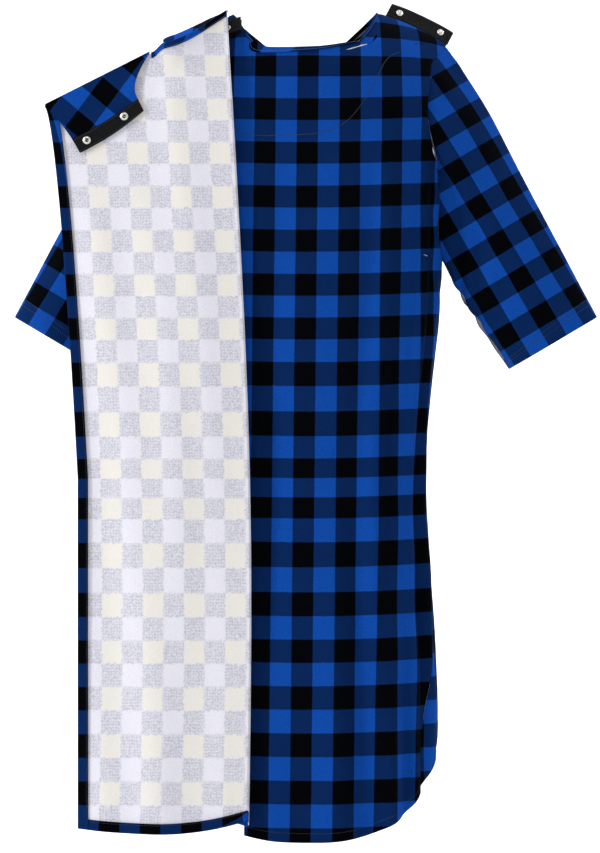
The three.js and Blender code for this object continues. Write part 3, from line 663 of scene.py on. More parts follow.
V_ROWS = np.unique(np.concatenate([
    np.linspace(0, 0.02, 7), np.linspace(0.02, 0.12, 20), steps(0.12, 1.0, GRID / BACK_LENGTH),
]))
HEM_V = np.concatenate([V_ROWS, 1 + hem_rows(HEM_WIDTH, HEM_ROLL) / 1000])


def seam_gap(z):
    return mix(2 * SEAM, BACK_SEAM, smooth((WAIST_LEVEL - z) / 60))


def front_left(z):
    return np.where(z > WAIST_LEVEL, 2 - side_edge(z), right_seam(z) + 0.3 * seam_gap(z))


def front_right(z):
    return 2 + side_edge(z)


def free_edge(z):
    across = mix(FREE_EDGE_TOP, FREE_EDGE_HEM, smooth(-z / BACK_LENGTH))
    return np.maximum(round_at(across, z), UNDER_INSET - side_edge(z))


def fold_across(z):
    down = clamp01(-z / OVER_LENGTH)
    return mix(FOLD_TOP, FOLD_HEM, down) + FOLD_BOW * np.sin(PI * down**1.15)


def base_right(z):
    return round_at(fold_across(z), z)


def minus_side(z):
    return -side_edge(z)


front_place = panel(front_left, front_right, FRONT_NECK, FRONT_LENGTH)
under_place = panel(free_edge, right_seam, BACK_NECK, BACK_LENGTH)
base_place = panel(minus_side, base_right, BACK_NECK, OVER_LENGTH)


def base_lift(f, t, z):
    flat = torso(t, z)
    below = np.maximum(0, shoulder_level(flat[..., 0]) - z)
    over_snaps = BASE_SHOULDER_LIFT * np.exp(-((below / LIFT_REACH) ** 2))
    return (BASE_LIFT + over_snaps) * smooth((f + 0.02) / 0.17)


def torso_cloth(name, place, columns, shift=(0.0, 0.0), dips=(0.0, 0.0), lift=None, prints=None, vs=HEM_V):
    f, v = np.meshgrid(columns, vs, indexing="ij")
    t, z, d = place(f, v)
    width = around(place(np.array(1.0), np.array(0.5))[0], np.array(-500.0))
    width = width - around(place(np.array(0.0), np.array(0.5))[0], np.array(-500.0))
    d = d + dips[0] * seam_dip(f * width) + dips[1] * seam_dip((1 - f) * width)
    if lift is not None:
        d = d + lift(f, t, z)
    mid = on_torso(t, z, d)
    marks = torso_print(t, z, torso(t, z)[..., 0]) if prints is None else prints(f, t, z)
    front = mid[len(columns) // 2, len(vs) // 2] * [1, 1, 0]
    return cloth(name, mid, front, marks + np.array(shift), FLANNEL)


front = torso_cloth("cloth_front_panel", front_place, steps(0, 1, GRID / 480), (0.37, 0.21), (1, 1))
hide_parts("front_panel", "front_hem")
under = torso_cloth("cloth_under_panel", under_place, steps(0, 1, GRID / 400), (0, 0), (0, 1))
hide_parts("under_panel", "under_hem", "under_side_hem")


def base_print(_share, t, z):
    reach = around(t, z) - around(base_right(z), z)
    return np.stack([-0.16 + reach / 27.6, rows(-z)], -1)


base_columns = steps(0, 1, 5 / 130)
base = torso_cloth("cloth_over_panel", base_place, base_columns, (0, 0), (1, 0), base_lift, base_print)
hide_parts("over_panel_base", "base_hem")

# ---- The leaf, folded open ----
LEAF_TOP_WIDTH = FOLD_TOP - LEAF_TOP_EDGE
FOLD_DEPTH = -max(CHEST_HALF_DEPTH, WAIST_HALF_DEPTH, HEM_HALF_DEPTH) - BASE_LIFT - 2 * CLOTH - FOLD_GAP


def leaf_edge(z):
    return mix(LEAF_TOP_EDGE, LEAF_HEM_EDGE, clamp01((CREASE_END - z) / 500) ** 0.6)


def leaf_top(x):
    out = FOLD_TOP - x
    bend = smooth((out - CORNER_START) / (FOLD_TOP - CREASE_INNER - CORNER_START))
    corner = (CREASE_DROP - LEAF_NECK_DROP) * bend
    neck = -LEAF_NECK_DROP * np.sin(PI / 2 * clamp01(out / 96)) ** 1.1 - corner
    crease = mix(-CREASE_DROP, CREASE_END, (CREASE_INNER - x) / (CREASE_INNER - LEAF_TOP_EDGE))
    return np.where(x > CREASE_INNER, neck, crease)


def leaf_hem(w):
    inner = 18 * (1 - clamp01(w / 0.5)) ** 2
    return -OVER_LENGTH - 2 + inner + 7 * clamp01((w - 0.5) / 0.5) ** 2


def leaf_depth(x, z):
    out = clamp01((FOLD_TOP - x) / LEAF_TOP_WIDTH)
    tuck = (1 - smooth(-z / 100)) * (1 - smooth(out / 0.3))
    return FOLD_DEPTH + LEAF_SWEEP * out + LEAF_TUCK * tuck


def billow(out, z):
    """How far the leaf swells towards the viewer: a broad ridge, soft waves and drag lines by the flap."""
    clear = smooth((-205 - z) / 110) + (1 - smooth((out - 0.3) / 0.14)) * (1 - smooth((-205 - z) / 110)) * 0.5
    ridge = 8.5 * bell(out, 0.46 + 0.05 * np.sin(z / 240), 0.21) * smooth(out / 0.2)
    waves = 2.6 * np.sin(2 * PI * (1.7 * out + 0.12 * np.sin(z / 170)) + 0.4) * smooth((out - 0.08) / 0.3)
    ripple = 1.2 * np.sin(2 * PI * (3.3 * out - z / 900) + 1.3) * smooth((out - 0.1) / 0.3)
    drag = 1.6 * np.sin((z + 0.9 * out * 240) / 11) * bell(out, 0.27, 0.13) * bell(z, -95, 60)
    low = 2.8 * np.sin(2 * PI * 2.4 * out + 0.7) * smooth((-760 - z) / 300) * smooth((out - 0.05) / 0.2)
    return clear * (ridge + waves + ripple) + drag + low + 1.2 * smooth(out / 0.3)


def leaf_print(x, z):
    return np.stack([(fold_across(z) - x - 4.4) / 27.6, rows(-z)], -1)


def leaf_at(w, v, side_roll=1.5):
    """Point and print of the leaf. Past w = 1 and v = 1 its hems are turned towards the viewer."""
    w, v = np.broadcast_arrays(w, v)
    w_in = np.minimum(w, 1)
    top_across = mix(FOLD_TOP, LEAF_TOP_EDGE, w_in)
    beyond, front_of = turned(np.maximum(v - 1, 0) * 1000, HEM_ROLL)
    z = mix(leaf_top(top_across), leaf_hem(w_in), np.minimum(v, 1)) - beyond
    past, off = turned(np.maximum(w - 1, 0) * 1000, side_roll, front_of)
    off = np.where(w > 1, off, front_of)
    x = mix(fold_across(z), leaf_edge(z), w_in) - past
    out = clamp01((fold_across(z) - x) / (fold_across(z) - leaf_edge(z)))
    y = leaf_depth(x, z) - CLOTH / 2 - off - billow(out, z)
    mark_x = np.where(w > 1, leaf_edge(z) - (w - 1) * 1000, x)
    mark_z = np.where(v > 1, leaf_hem(w_in) - (v - 1) * 1000, z)
    return np.stack([x, y, z], -1), leaf_print(mark_x, mark_z)


SIDE_HEM = 1 + hem_rows(HEM_WIDTH - 1, 1.5) / 1000
w, v = np.meshgrid(np.concatenate([steps(0, 1, 5 / 230), SIDE_HEM]), HEM_V, indexing="ij")
mid, marks = leaf_at(w, v)
leaf = cloth("cloth_leaf", mid, [0, 1, 0], marks, FLANNEL)
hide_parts("over_panel_leaf", "leaf_side_hem", "leaf_bottom_hem")


# ---- The fold: a roll of cloth from the base's edge to the leaf's, its pale side out ----
def fold_roll(name, v_start, v_end):
    v = HEM_V[(HEM_V >= v_start - 1e-9) & (HEM_V <= v_end + 1e-9)]
    turn = np.linspace(0, PI, 15)
    t, z, d = base_place(np.ones_like(v), v)
    start = on_torso(t, z, d + base_lift(np.ones_like(v), t, z))
    end, marks = leaf_at(np.zeros_like(v), v)
    share = (1 - np.cos(turn))[:, None, None] / 2
    mid = start[None] * (1 - share) + end[None] * share
    gap = np.abs(start[:, 1] - end[:, 1])
    mid[..., 0] += np.sin(turn)[:, None] * np.minimum(0.4 * gap, 2.2)[None]
    prints = np.repeat(marks[None], len(turn), 0)
    prints[..., 0] += (np.linspace(-0.18, 0, len(turn)))[:, None]
    return cloth(name, mid, [-1, 0, 0], prints, FLANNEL)


NECK_SHARE = 0.09
neck_v = HEM_V[np.argmin(np.abs(HEM_V - NECK_SHARE))]
roll_neck = fold_roll("cloth_fold_neck", 0, neck_v)
roll_long = fold_roll("cloth_fold", neck_v, 2)

# ---- The corner flap, folded down over the leaf ----
def on_crease(x, z):
    depth = FOLD_DEPTH + LEAF_SWEEP * clamp01((FOLD_TOP - x) / LEAF_TOP_WIDTH)
    return np.array([x, depth - CLOTH - FLAP_GAP, z])


crease_start = on_crease(LEAF_TOP_EDGE, CREASE_END)
crease_end = on_crease(CREASE_INNER, -CREASE_DROP)
CREASE_LENGTH = float(np.linalg.norm(crease_end - crease_start))
along_crease = unit(crease_end - crease_start)
to_viewer = unit(np.cross(along_crease, [0, 0, 1]))
across_crease = -np.cross(along_crease, to_viewer)
if across_crease[2] > 0:
    across_crease = -across_crease


def flap_left(q):
    return FLAP_START * np.sin(PI / 2 * clamp01(q / FLAP_DEPTH))


def flap_right(q):
    return mix(CREASE_LENGTH, FLAP_END, np.sin(PI / 2 * clamp01(q / 44)) ** 0.9)


def flap_end(u):
    return mix(FLAP_DEPTH, FLAP_END_DEPTH, u) + FLAP_SAG * np.sin(PI * u)


def crease_point(p, q, d):
    p, q, d = np.broadcast_arrays(p, q, d)
    in_plane = crease_start + p[..., None] * along_crease + q[..., None] * across_crease
    return in_plane + d[..., None] * to_viewer


def flap_print(p, q):
    """The flap is the leaf's own corner, so its print goes on past the crease."""
    flat = crease_point(p, -q, 0 * q)
    return leaf_print(flat[..., 0], flat[..., 2])


def flap_swell(u, q):
    rise = 1.8 * np.sin(PI * clamp01(q / FLAP_DEPTH)) * (0.6 + 0.4 * np.sin(5 * u))
    inner = 3.0 * smooth((u - 0.78) / 0.22) * np.sin(PI * clamp01(q / 60))
    return rise + inner + 0.9 * np.sin(7 * u + q / 13) * smooth(q / 20) * (1 - smooth((q - 50) / 10))


FLAP_ROLL = (FLAP_GAP + CLOTH) / 2
roll_turn = np.linspace(0, PI, 13)
p, a = np.meshgrid(steps(0, CREASE_LENGTH, 5), roll_turn, indexing="ij")
mid = crease_point(p, -FLAP_ROLL * np.sin(a), CLOTH / 2 - FLAP_ROLL * (1 + np.cos(a)))
crease_roll = cloth("cloth_crease", mid, -across_crease, flap_print(p, (a - PI) * FLAP_ROLL), FLANNEL)

u, v = np.meshgrid(steps(0, 1, 4 / 140), steps(0, 1, 4 / 76), indexing="ij")
q = v * flap_end(u)
p = mix(flap_left(q), flap_right(q), u)
mid = crease_point(p, q, CLOTH / 2 + flap_swell(u, q))
flap = cloth("cloth_flap", mid, to_viewer, flap_print(p, q), FLANNEL)
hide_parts("over_panel_flap")


# ---- Sleeves ----
def armhole_loop(angle):
    middle = (TIP_LEVEL + UNDERARM_LEVEL) / 2
    half = (TIP_LEVEL - UNDERARM_LEVEL) / 2 - 1
    z = middle + half * np.cos(angle)
    loop = torso(round_at(armhole_across(z), z), z)
    loop[..., 0] += 0.8
    loop[..., 1] = np.where(np.sin(angle) < 0, -loop[..., 1], loop[..., 1])
    return loop


def cuff_loop(angle):
    up = np.array([math.cos(SLEEVE_LEAN), 0, math.sin(SLEEVE_LEAN)])
    deep = -CUFF_HALF_DEPTH * np.sin(angle)
    round_cuff = CUFF_CENTRE + CUFF_HALF_WIDTH * np.cos(angle)[..., None] * up
    return round_cuff + deep[..., None] * np.array([0, 1, 0])


SLEEVE_LENGTH = float(np.linalg.norm(CUFF_CENTRE - [SHOULDER_HALF, 0, (TIP_LEVEL + UNDERARM_LEVEL) / 2]))


def sleeve_swell(angle, s):
    """Puckers at the sleeve head, and long soft folds that fall from the shoulder to under the arm."""
    head = 1.6 * np.sin(13 * angle) * bell(s, 0.06, 0.07) * (0.5 + 0.5 * np.cos(angle))
    long_fold = 3.2 * np.sin(2.2 * angle + 3.1 * s + 0.4) * smooth(s / 0.3)
    drag = 2.3 * np.sin(26 * s - 3.4 * angle) * bell(s, 0.42, 0.28) * (0.5 - 0.5 * np.cos(angle)) ** 0.7
    full = 4.0 * bell(s, 0.22, 0.2) * (0.5 + 0.5 * np.cos(angle))
    return head + (long_fold + drag) * (1 - 0.45 * smooth((s - 0.75) / 0.25)) + full


def sleeve_runs():
    """Shares of the sleeve's length, closer together at its head."""
    return np.concatenate([np.linspace(0, 0.06, 6)[:-1], np.linspace(0.06, 1, 44)])


def sleeve_grid(side):
    angle = np.linspace(-PI, PI, 81)
    s = np.concatenate([sleeve_runs(), 1 + hem_rows(CUFF_HEM_WIDTH, HEM_ROLL) / 1000])
    angle, s = np.meshgrid(angle, s, indexing="ij")
    beyond, inside = turned(np.maximum(s - 1, 0) * 1000, HEM_ROLL)
    run = np.minimum(s, 1) + beyond / SLEEVE_LENGTH
    shell = mix(armhole_loop(angle), cuff_loop(angle), run[..., None])
    axis = mix((armhole_loop(np.zeros(1)) + armhole_loop(np.full(1, PI))) / 2, CUFF_CENTRE, run[..., None])
    shape = mix(armhole_loop(angle), cuff_loop(angle), np.minimum(run, 1)[..., None])
    past_cuff = np.clip(s, 0, 1 + 1e-3 * s)[..., None]
    normal = grid_normals(mix(armhole_loop(angle), cuff_loop(angle), past_cuff), True)
    normal *= np.sign(np.sum(normal * (shape - axis), -1, keepdims=True))
    clear = seam_dip(run * SLEEVE_LENGTH, 1.6, 3.0)
    swell = sleeve_swell(angle, np.minimum(run, 1)) * smooth(run / 0.08)
    mid = shell + normal * (swell + clear - THICK / 2 - inside)[..., None]
    down_sleeve = np.array([math.sin(SLEEVE_LEAN), 0, -math.cos(SLEEVE_LEAN)])
    up_sleeve = np.array([math.cos(SLEEVE_LEAN), 0, math.sin(SLEEVE_LEAN)])
    flat = np.diff(shape, axis=0)
    flat = flat - (flat @ down_sleeve)[..., None] * down_sleeve
    arc = np.cumsum(np.pad(np.linalg.norm(flat, axis=-1), ((1, 0), (0, 0))), axis=0)
    middle = int(np.argmin(np.abs(angle[:, 0] - PI / 2)))
    arc = arc[[middle]] - arc + (shape @ up_sleeve)[[middle]]
    level = shape @ down_sleeve + (run - np.minimum(run, 1)) * SLEEVE_LENGTH
    marks = np.stack([(arc - SLEEVE_COLUMN) / 28.3, (level - SLEEVE_ROW) / 28.1], -1)
    mid[..., 0] *= side
    return mid, marks, normal * np.array([side, 1, 1])


sleeves = []
for word, side in (("right", 1), ("left", -1)):
    mid, marks, normal = sleeve_grid(side)
    front_way = normal[40, 20]
    o = cloth(f"cloth_{word}_sleeve", mid, front_way, marks, FLANNEL, wrap=True)
    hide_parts(f"{word}_sleeve", f"{word}_cuff_hem")
    sleeves.append((word, side, o, mid, normal))


# ---- Neck bindings and facing ----
def round_at_tip(x):
    return math.asin((x / SHOULDER_HALF) ** (SQUARENESS / 2)) * 2 / PI


BINDING_ROLL = 1.25            # half the thickness of a bound edge


def bound_edge():
    """Section of a binding, outside to inside: depth below the edge, and height off the cloth's middle."""
    a = np.linspace(0, PI, 9)
    outside, inside = np.linspace(BINDING_WIDTH, 0, 7)[:-1], np.linspace(0, 5, 5)[1:]
    below = np.concatenate([outside, -BINDING_ROLL * np.sin(a), inside])
    off = np.concatenate([0 * outside + BINDING_ROLL, BINDING_ROLL * np.cos(a), 0 * inside - BINDING_ROLL])
    crown = 0.25 * np.sin(PI * clamp01(below / BINDING_WIDTH))
    return below, off + np.sign(off) * crown


def binding(name, place, ends, length):
    """A folded strip that wraps a neck edge."""
    below, off = bound_edge()
    f, k = np.meshgrid(np.linspace(*ends, 110), np.arange(len(below)), indexing="ij")
    t, z, d = place(f, below[k] / length, CLOTH / 2 + off[k])
    mid = on_torso(t, z, d)
    run = f * 14
    marks = np.stack([run + 0.03 * k, 0.6 * run + 0.06 * k], -1)
    return cloth(name, mid, [0, 0, 1], marks, FLANNEL, thick=FOLDED_CLOTH)


def share_of(ends, t):
    return (t - ends[0]) / (ends[1] - ends[0])


front_top = (float(front_left(np.array(TIP_LEVEL))), float(front_right(np.array(TIP_LEVEL))))
under_top = (float(free_edge(np.array(TIP_LEVEL))), float(right_seam(np.array(TIP_LEVEL))))
front_neck = (
    share_of(front_top, 2 - round_at_tip(NECK_HALF)),
    share_of(front_top, 2 + round_at_tip(FRONT_NECK_LEFT)),
)
under_neck = (
    share_of(under_top, -round_at_tip(NECK_HALF - TAPE_PAST_NECK - 5)),
    share_of(under_top, round_at_tip(NECK_HALF)),
)
front_binding = binding("binding_front_neck", front_place, front_neck, FRONT_LENGTH)
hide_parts("front_neck_binding")
under_binding = binding("binding_under_neck", under_place, under_neck, BACK_LENGTH)
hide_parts("under_neck_binding")

below, off = bound_edge()
crease_share = (FOLD_TOP - CREASE_INNER) / LEAF_TOP_WIDTH
w, k = np.meshgrid(np.linspace(0, crease_share, 70), np.arange(len(below)), indexing="ij")
mid, marks = leaf_at(w, below[k] / OVER_LENGTH)
mid[..., 1] -= off[k]
marks = marks + 0.02 * k[..., None]
leaf_binding = cloth("binding_leaf_neck", mid, BACK_WAY, marks, FLANNEL, thick=FOLDED_CLOTH)
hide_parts("leaf_neck_binding")

facing_end = float(round_at(np.array(float(FACING_HALF_WIDTH)), np.array(TIP_LEVEL)))
facing_ends = (share_of(under_top, -facing_end), share_of(under_top, facing_end))


def facing_bottom(f):
    """Share of the panel's length at which the half moon ends."""
    at_top = mix(under_top[0], under_top[1], f)
    across = SHOULDER_HALF * signed_power(np.sin(PI / 2 * at_top), 2 / SQUARENESS)
    top = top_level(across, BACK_NECK)
    out = np.minimum(np.abs(across) / FACING_HALF_WIDTH, 1)
    bottom = mix(FACING_LEVEL, FACING_END_LEVEL, out**FACING_POWER)
    ends = mix(float(free_edge(np.array(-1115.0))), float(right_seam(np.array(-1115.0))), f)
    return (top - bottom) / (top - hem_level(ends, BACK_LENGTH))


f, v = np.meshgrid(np.linspace(*facing_ends, 60), np.linspace(0, 1, 30), indexing="ij")
t, z, d = under_place(f, mix(FACING_TOP_SHARE, facing_bottom(f), v), -FACING_GAP - FOLDED_CLOTH / 2)
mid = on_torso(t, z, d)
marks = torso_print(t, z, mid[..., 0]) + 0.4
facing = cloth("cloth_facing", mid, [0, 1, 0], marks, FLANNEL, thick=FOLDED_CLOTH)
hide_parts("half_moon_facing")


# ---- Snap tapes ----
def tape_marks(run, v):
    """Tape has no print: its coordinates only carry the twill, in units of a check."""
    return np.stack([run / CHECK, v * TAPE_WIDTH / CHECK], -1)


right_reach = SHOULDER_HALF + 1.5 - TAPE_START
tab_fall = float(shoulder_level(SHOULDER_HALF) - shoulder_level(TAPE_START))
tab_out = unit(np.cross(unit(np.array([right_reach, 0, tab_fall])), TAB_WAY))


def right_tape_at(u, v, d):
    across = TAPE_START + u * right_reach
    foot = np.stack([across, 0 * across, shoulder_level(across) + TAB_LIFT], -1)
    return foot + (TAPE_WIDTH * v)[..., None] * TAB_WAY + np.asarray(d)[..., None] * tab_out


u, v = np.meshgrid(np.linspace(0, 1, 34), np.linspace(0, 1, 11), indexing="ij")
wave = 0.35 * np.sin(9 * u) * v
mid = right_tape_at(u, v * 1.07 - 0.07, TAPE / 2 + wave)
right_tape = cloth("tape_right", mid, tab_out, tape_marks(u * right_reach, v), [TWILL, TWILL], thick=TAPE)
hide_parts("right_shoulder_tape")

left_start = -(NECK_HALF - TAPE_PAST_NECK)
left_reach = TAPE_PAST_NECK + 0.7 * (SHOULDER_HALF - NECK_HALF)


def left_tape_at(u, v, d):
    across = left_start - u * left_reach
    z = shoulder_level(across) - LEFT_TAPE_BELOW - LEFT_TAPE_DROP * v
    return on_torso(round_at(across, z), z, d)


SOCKET_LEVEL = CLOTH + LAYER_GAP + TAPE + 0.6
PLATE_LEVEL = SOCKET_LEVEL + 1.6 + 0.6
OVER_LEVEL = PLATE_LEVEL + 0.6 + 0.6
left_tapes = []
for name, node, level in (
    ("tape_under_panel", "under_panel_tape", CLOTH + LAYER_GAP),
    ("tape_left_shoulder", "left_shoulder_tape", OVER_LEVEL),
):
    mid = left_tape_at(u, v, level + TAPE / 2 + 0 * u)
    o = cloth(name, mid, BACK_WAY, tape_marks(u * left_reach, v), [TWILL, TWILL], thick=TAPE)
    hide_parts(node)
    left_tapes.append(o)

FLAP_TAPE_D = CLOTH + LAYER_GAP


def flap_tape_at(u, v, d):
    q = mix(1 - TAPE_WIDTH / FLAP_DEPTH, 1.01, v) * flap_end(u)
    p = mix(flap_left(q), flap_right(q), u)
    return crease_point(p, q + 1, d)


mid = flap_tape_at(u, v, FLAP_TAPE_D + TAPE / 2 + 0.3 * np.sin(8 * u) * v)
flap_tape = cloth("tape_flap", mid, to_viewer, tape_marks(u * 115, v), [TWILL, TWILL], thick=TAPE)
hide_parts("flap_tape")

# ---- Ring snaps, each on the axis of the CAD solid that it replaces ----
STUD = [
    (0, 0), (3.9, 0), (4.4, 0.08), (4.6, 0.3), (4.5, 0.62), (4.15, 0.82), (3.75, 0.78), (3.45, 0.5),
    (2.5, 0.42), (1.7, 0.48), (1.45, 0.8), (1.5, 1.2), (1.85, 1.5), (1.85, 1.75),
    (1.55, 1.98), (0.9, 2.05), (0, 2.05),
]
SOCKET = [
    (2.4, 0), (4.9, 0), (5.2, 0.12), (5.3, 0.45), (5.2, 0.8), (4.8, 1.05), (4.3, 1.1), (3.95, 0.95),
    (3.6, 1.15), (3.3, 1.5), (2.95, 1.62), (2.6, 1.5), (2.42, 1.15), (2.4, 0.6), (2.4, 0),
]
RING = [
    (2.6, 0), (5.0, 0), (5.25, 0.12), (5.3, 0.3), (5.1, 0.52), (4.6, 0.6), (3.6, 0.6), (3.0, 0.56),
    (2.7, 0.4), (2.6, 0),
]


def node_middle(node):
    low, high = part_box(node)
    return (np.array(low) + np.array(high)) / 2 / MM


def snap(node, outline, way, height, rises=0.0):
    """A turned snap piece in the place of a CAD node; way is its axis, from its flat face."""
    way = unit(np.array(way, float))
    seat = node_middle(node) - way * (height / 2 - rises)
    o = lathe("visual_" + node, outline, seat, way, METAL)
    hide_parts(node)
    return o


def spring(node, seat, way, along, side):
    """The S-shaped wire that grips the post, lying in the socket's mouth."""
    k = np.linspace(-1, 1, 41)
    line = seat + (k * 3.6)[:, None] * along + (1.25 * np.sin(PI * k))[:, None] * side
    ahead = unit(np.gradient(line, axis=0))
    turn = np.linspace(0, 2 * PI, 9)[:-1]
    cross = unit(np.cross(ahead, way))
    ring = np.cos(turn)[None, :, None] * cross[:, None] + np.sin(turn)[None, :, None] * way
    points = line[:, None] + 0.3 * ring
    n, m = points.shape[:2]
    faces = [(i * m + j, i * m + (j + 1) % m, (i + 1) * m + (j + 1) % m, (i + 1) * m + j)
             for i in range(n - 1) for j in range(m)]
    faces += [list(range(m))[::-1], list(range((n - 1) * m, n * m))]
    o = new_object("visual_" + node, points.reshape(-1, 3), faces, None, None, [METAL], sharp=60)
    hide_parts(node)
    return o


flap_snaps, right_snaps, left_snaps = [], [], []
for k in (1, 2):
    flap_snaps.append(snap(f"flap_socket_{k}", SOCKET, to_viewer, 1.6))
    middle = node_middle(f"flap_socket_{k}") + to_viewer * 0.75
    flap_snaps.append(spring(f"flap_spring_{k}", middle, to_viewer, along_crease, across_crease))
    flap_snaps.append(snap(f"flap_socket_ring_{k}", RING, -to_viewer, 0.6))
    right_snaps.append(snap(f"right_stud_{k}", STUD, tab_out, 2.0))
    right_snaps.append(snap(f"right_stud_ring_{k}", RING, -tab_out, 0.6))
    outward = node_middle(f"left_stud_ring_{k}") - node_middle(f"left_socket_{k}")
    left_snaps.append(snap(f"left_socket_ring_{k}", RING, -outward, 0.6))
    left_snaps.append(snap(f"left_socket_{k}", SOCKET, outward, 1.6))
    left_snaps.append(snap(f"left_stud_{k}", STUD, -outward, 2.0))
    left_snaps.append(snap(f"left_stud_ring_{k}", RING, outward, 0.6))

# ---- Stitching ----
def torso_stitches(name, place, f, v, level, material, **kind):
    t, z, d = place(f, v, level)
    line = on_torso(t, z, d)
    return stitch_line(name, line, on_torso(t, z, d + 1) - line, material, **kind)


torso_stitching = []
f = np.linspace(*facing_ends, 160)
facing_line = facing_bottom(f) - 0.003
torso_stitching.append(torso_stitches("stitch_facing", under_place, f, facing_line, CLOTH / 2 + 0.5,
                                      DARK_THREAD, radius=0.4, length=2.8))
f = np.linspace(0.02, 0.98, 200)
hem_share = 1 - (HEM_WIDTH - 1.5) / BACK_LENGTH
for name, place in (("stitch_under_hem", under_place), ("stitch_front_hem", front_place)):
    torso_stitching.append(torso_stitches(name, place, f, 0 * f + hem_share, 1.1, DARK_THREAD))
for name, place, ends, length in (
    ("stitch_under_binding", under_place, under_neck, BACK_LENGTH),
    ("stitch_front_binding", front_place, front_neck, FRONT_LENGTH),
):
    f = np.linspace(*ends, 120)
    v = 0 * f + (BINDING_WIDTH - 1.6) / length
    torso_stitching.append(torso_stitches(name, place, f, v, CLOTH + LAYER_GAP + 1.7, BLUE_THREAD,
                                          length=2.0, pitch=2.9))


def leaf_stitches(name, w, v, off, material):
    line, _ = leaf_at(w, v)
    line[:, 1] -= off
    return stitch_line(name, line, np.tile(BACK_WAY, (len(line), 1)), material)


v = np.linspace(0.03, 0.985, 300)
reach = (fold_across(-500 + 0 * v) - leaf_edge(-500 + 0 * v))
leaf_stitching = [
    leaf_stitches("stitch_leaf_side", 1 - (HEM_WIDTH - 3.2) / reach, v, 3.7, DARK_THREAD),
    leaf_stitches("stitch_leaf_hem", np.linspace(0.01, 0.93, 150), np.full(150, hem_share), 2.5, DARK_THREAD),
    leaf_stitches("stitch_leaf_binding", np.linspace(0.01, 0.41, 90), np.full(90, 5.4 / OVER_LENGTH), 2.4,
                  BLUE_THREAD),
]

cuff_stitching = {}
for word, side, o, mid, normal in sleeves:
    lines_ = []
    loop = mid[:, :49]
    run = np.linspace(0, 1, 49)
    for k, away in enumerate((CUFF_HEM_WIDTH - 1.5, CUFF_HEM_WIDTH - 7.5)):
        at = 1 - away / SLEEVE_LENGTH
        column = np.interp(at, sleeve_runs(), np.arange(49))
        i = int(column)
        line = mix(loop[:, i], loop[:, i + 1], column - i)
        out = normal[:, i]
        line = line + out * (THICK / 2 + 0.05)
        lines_.append(stitch_line(f"stitch_{word}_cuff_{k + 1}", line, out, DARK_THREAD))
    cuff_stitching[word] = lines_


def tape_stitches(name, surface, v, level, inset=0.02):
    line_u = np.linspace(inset, 1 - inset, 60)
    line = surface(line_u, np.full(60, v), level + 0 * line_u)
    up = surface(line_u, np.full(60, v), level + 1 + 0 * line_u) - line
    return stitch_line(name, line, up, DARK_THREAD, radius=0.3, pitch=3.0)


right_tape_stitches = [tape_stitches(f"stitch_right_tape_{k + 1}", right_tape_at, v, TAPE + 0.1)
                       for k, v in enumerate((0.1, 0.9))]
left_tape_stitches = [tape_stitches(f"stitch_left_tape_{k + 1}", left_tape_at, v, OVER_LEVEL + TAPE + 0.1)
                      for k, v in enumerate((0.1, 0.9))]
flap_tape_stitches = [tape_stitches(f"stitch_flap_tape_{k + 1}", flap_tape_at, v, FLAP_TAPE_D + TAPE + 0.1)
                      for k, v in enumerate((0.1, 0.9))]

# ---- What each piece rides on ----
BODIES = {
    "torso": [front, under, base, front_binding, under_binding, facing, *left_tapes, *left_snaps,
              *torso_stitching, *left_tape_stitches],
    "over_leaf": [leaf, leaf_binding, *leaf_stitching],
    "shoulder_flap": [flap, flap_tape, *flap_snaps, *flap_tape_stitches],
    "right_tape_tab": [right_tape, *right_snaps, *right_tape_stitches],
}
for body, members in BODIES.items():
    for o in members:
        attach(o, body)

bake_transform(roll_long)
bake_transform(roll_neck)
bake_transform(crease_roll)
for word, side, o, mid, normal in sleeves:
    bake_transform(o)
    for line in cuff_stitching[word]:
        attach(line, f"{word}_arm")

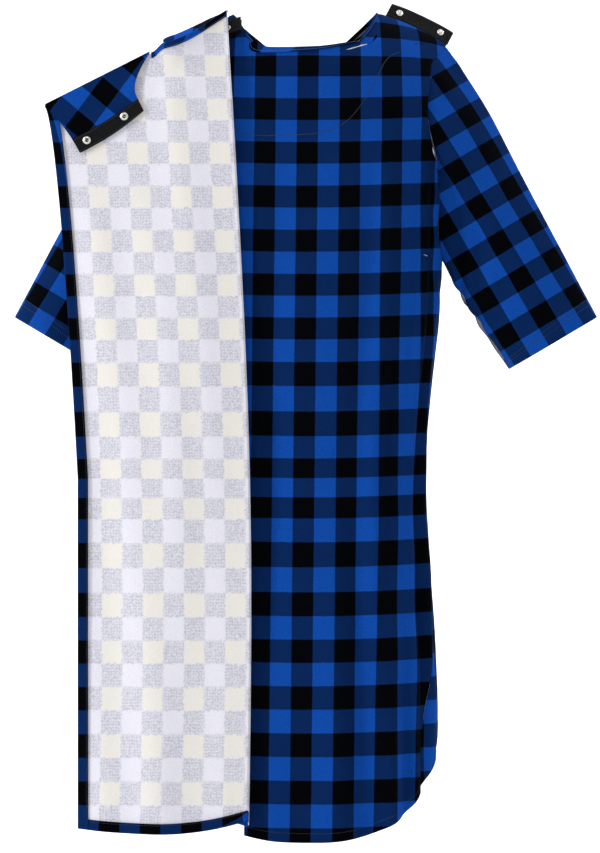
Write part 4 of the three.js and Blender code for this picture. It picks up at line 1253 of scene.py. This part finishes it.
# ---- Studio: pale paper sweep, soft light, camera square to the back ----
FLOOR_LEVEL = -1155
sweep = [(-11000, FLOOR_LEVEL), (1500, FLOOR_LEVEL)]
bends = [k * PI / 24 for k in range(1, 13)]
sweep += [(1500 + 900 * math.sin(a), FLOOR_LEVEL + 900 * (1 - math.cos(a))) for a in bends]
sweep += [(2400, 4500)]
sweep_points = [(x, y, z) for y, z in sweep for x in (-6000, 6000)]
sweep_faces = [(2 * k, 2 * k + 1, 2 * k + 3, 2 * k + 2) for k in range(len(sweep) - 1)]
floor = new_object("studio_floor", sweep_points, sweep_faces, None, None, [floor_material("studio_paper")])

world = bpy.data.worlds.new("studio")
world.use_nodes = True
world.node_tree.nodes["Background"].inputs[0].default_value = (1, 1, 1, 1)
world.node_tree.nodes["Background"].inputs[1].default_value = 0.5
bpy.context.scene.world = world


def area_light(name, place, aim, size, watts):
    data = bpy.data.lights.new(name, "AREA")
    data.shape = "RECTANGLE"
    data.size, data.size_y = size
    data.energy = watts
    o = bpy.data.objects.new(name, data)
    o.location = place
    o.rotation_euler = (Vector(aim) - Vector(place)).to_track_quat("-Z", "Y").to_euler()
    bpy.context.scene.collection.objects.link(o)


area_light("key", (-2.7, -1.5, 0.5), (0, 0, -0.5), (0.6, 2.2), 62)
area_light("fill", (1.6, -3.0, 0.1), (0, 0, -0.6), (1.4, 2.4), 15)
area_light("top", (0.1, -0.6, 2.0), (0, 0, -0.5), (1.6, 0.8), 12)
area_light("paper_left", (-2.0, 0.7, 1.8), (-0.6, 2.4, -0.4), (1.5, 1.5), 60)
area_light("paper_right", (2.0, 0.7, 1.8), (0.6, 2.4, -0.4), (1.5, 1.5), 60)

camera_data = bpy.data.cameras.new("camera")
camera = bpy.data.objects.new("camera", camera_data)
bpy.context.scene.collection.objects.link(camera)
CAMERA_DISTANCE = 10.0
VIEW_HEIGHT = 1.143
camera.location = (-0.008, -0.09 - CAMERA_DISTANCE, -0.558)
camera.rotation_euler = (PI / 2, 0, 0)
camera_data.sensor_width = 36
camera_data.lens = 36 * CAMERA_DISTANCE / VIEW_HEIGHT
camera_data.clip_end = 40
bpy.context.scene.camera = camera
bpy.context.scene.view_settings.view_transform = "Standard"
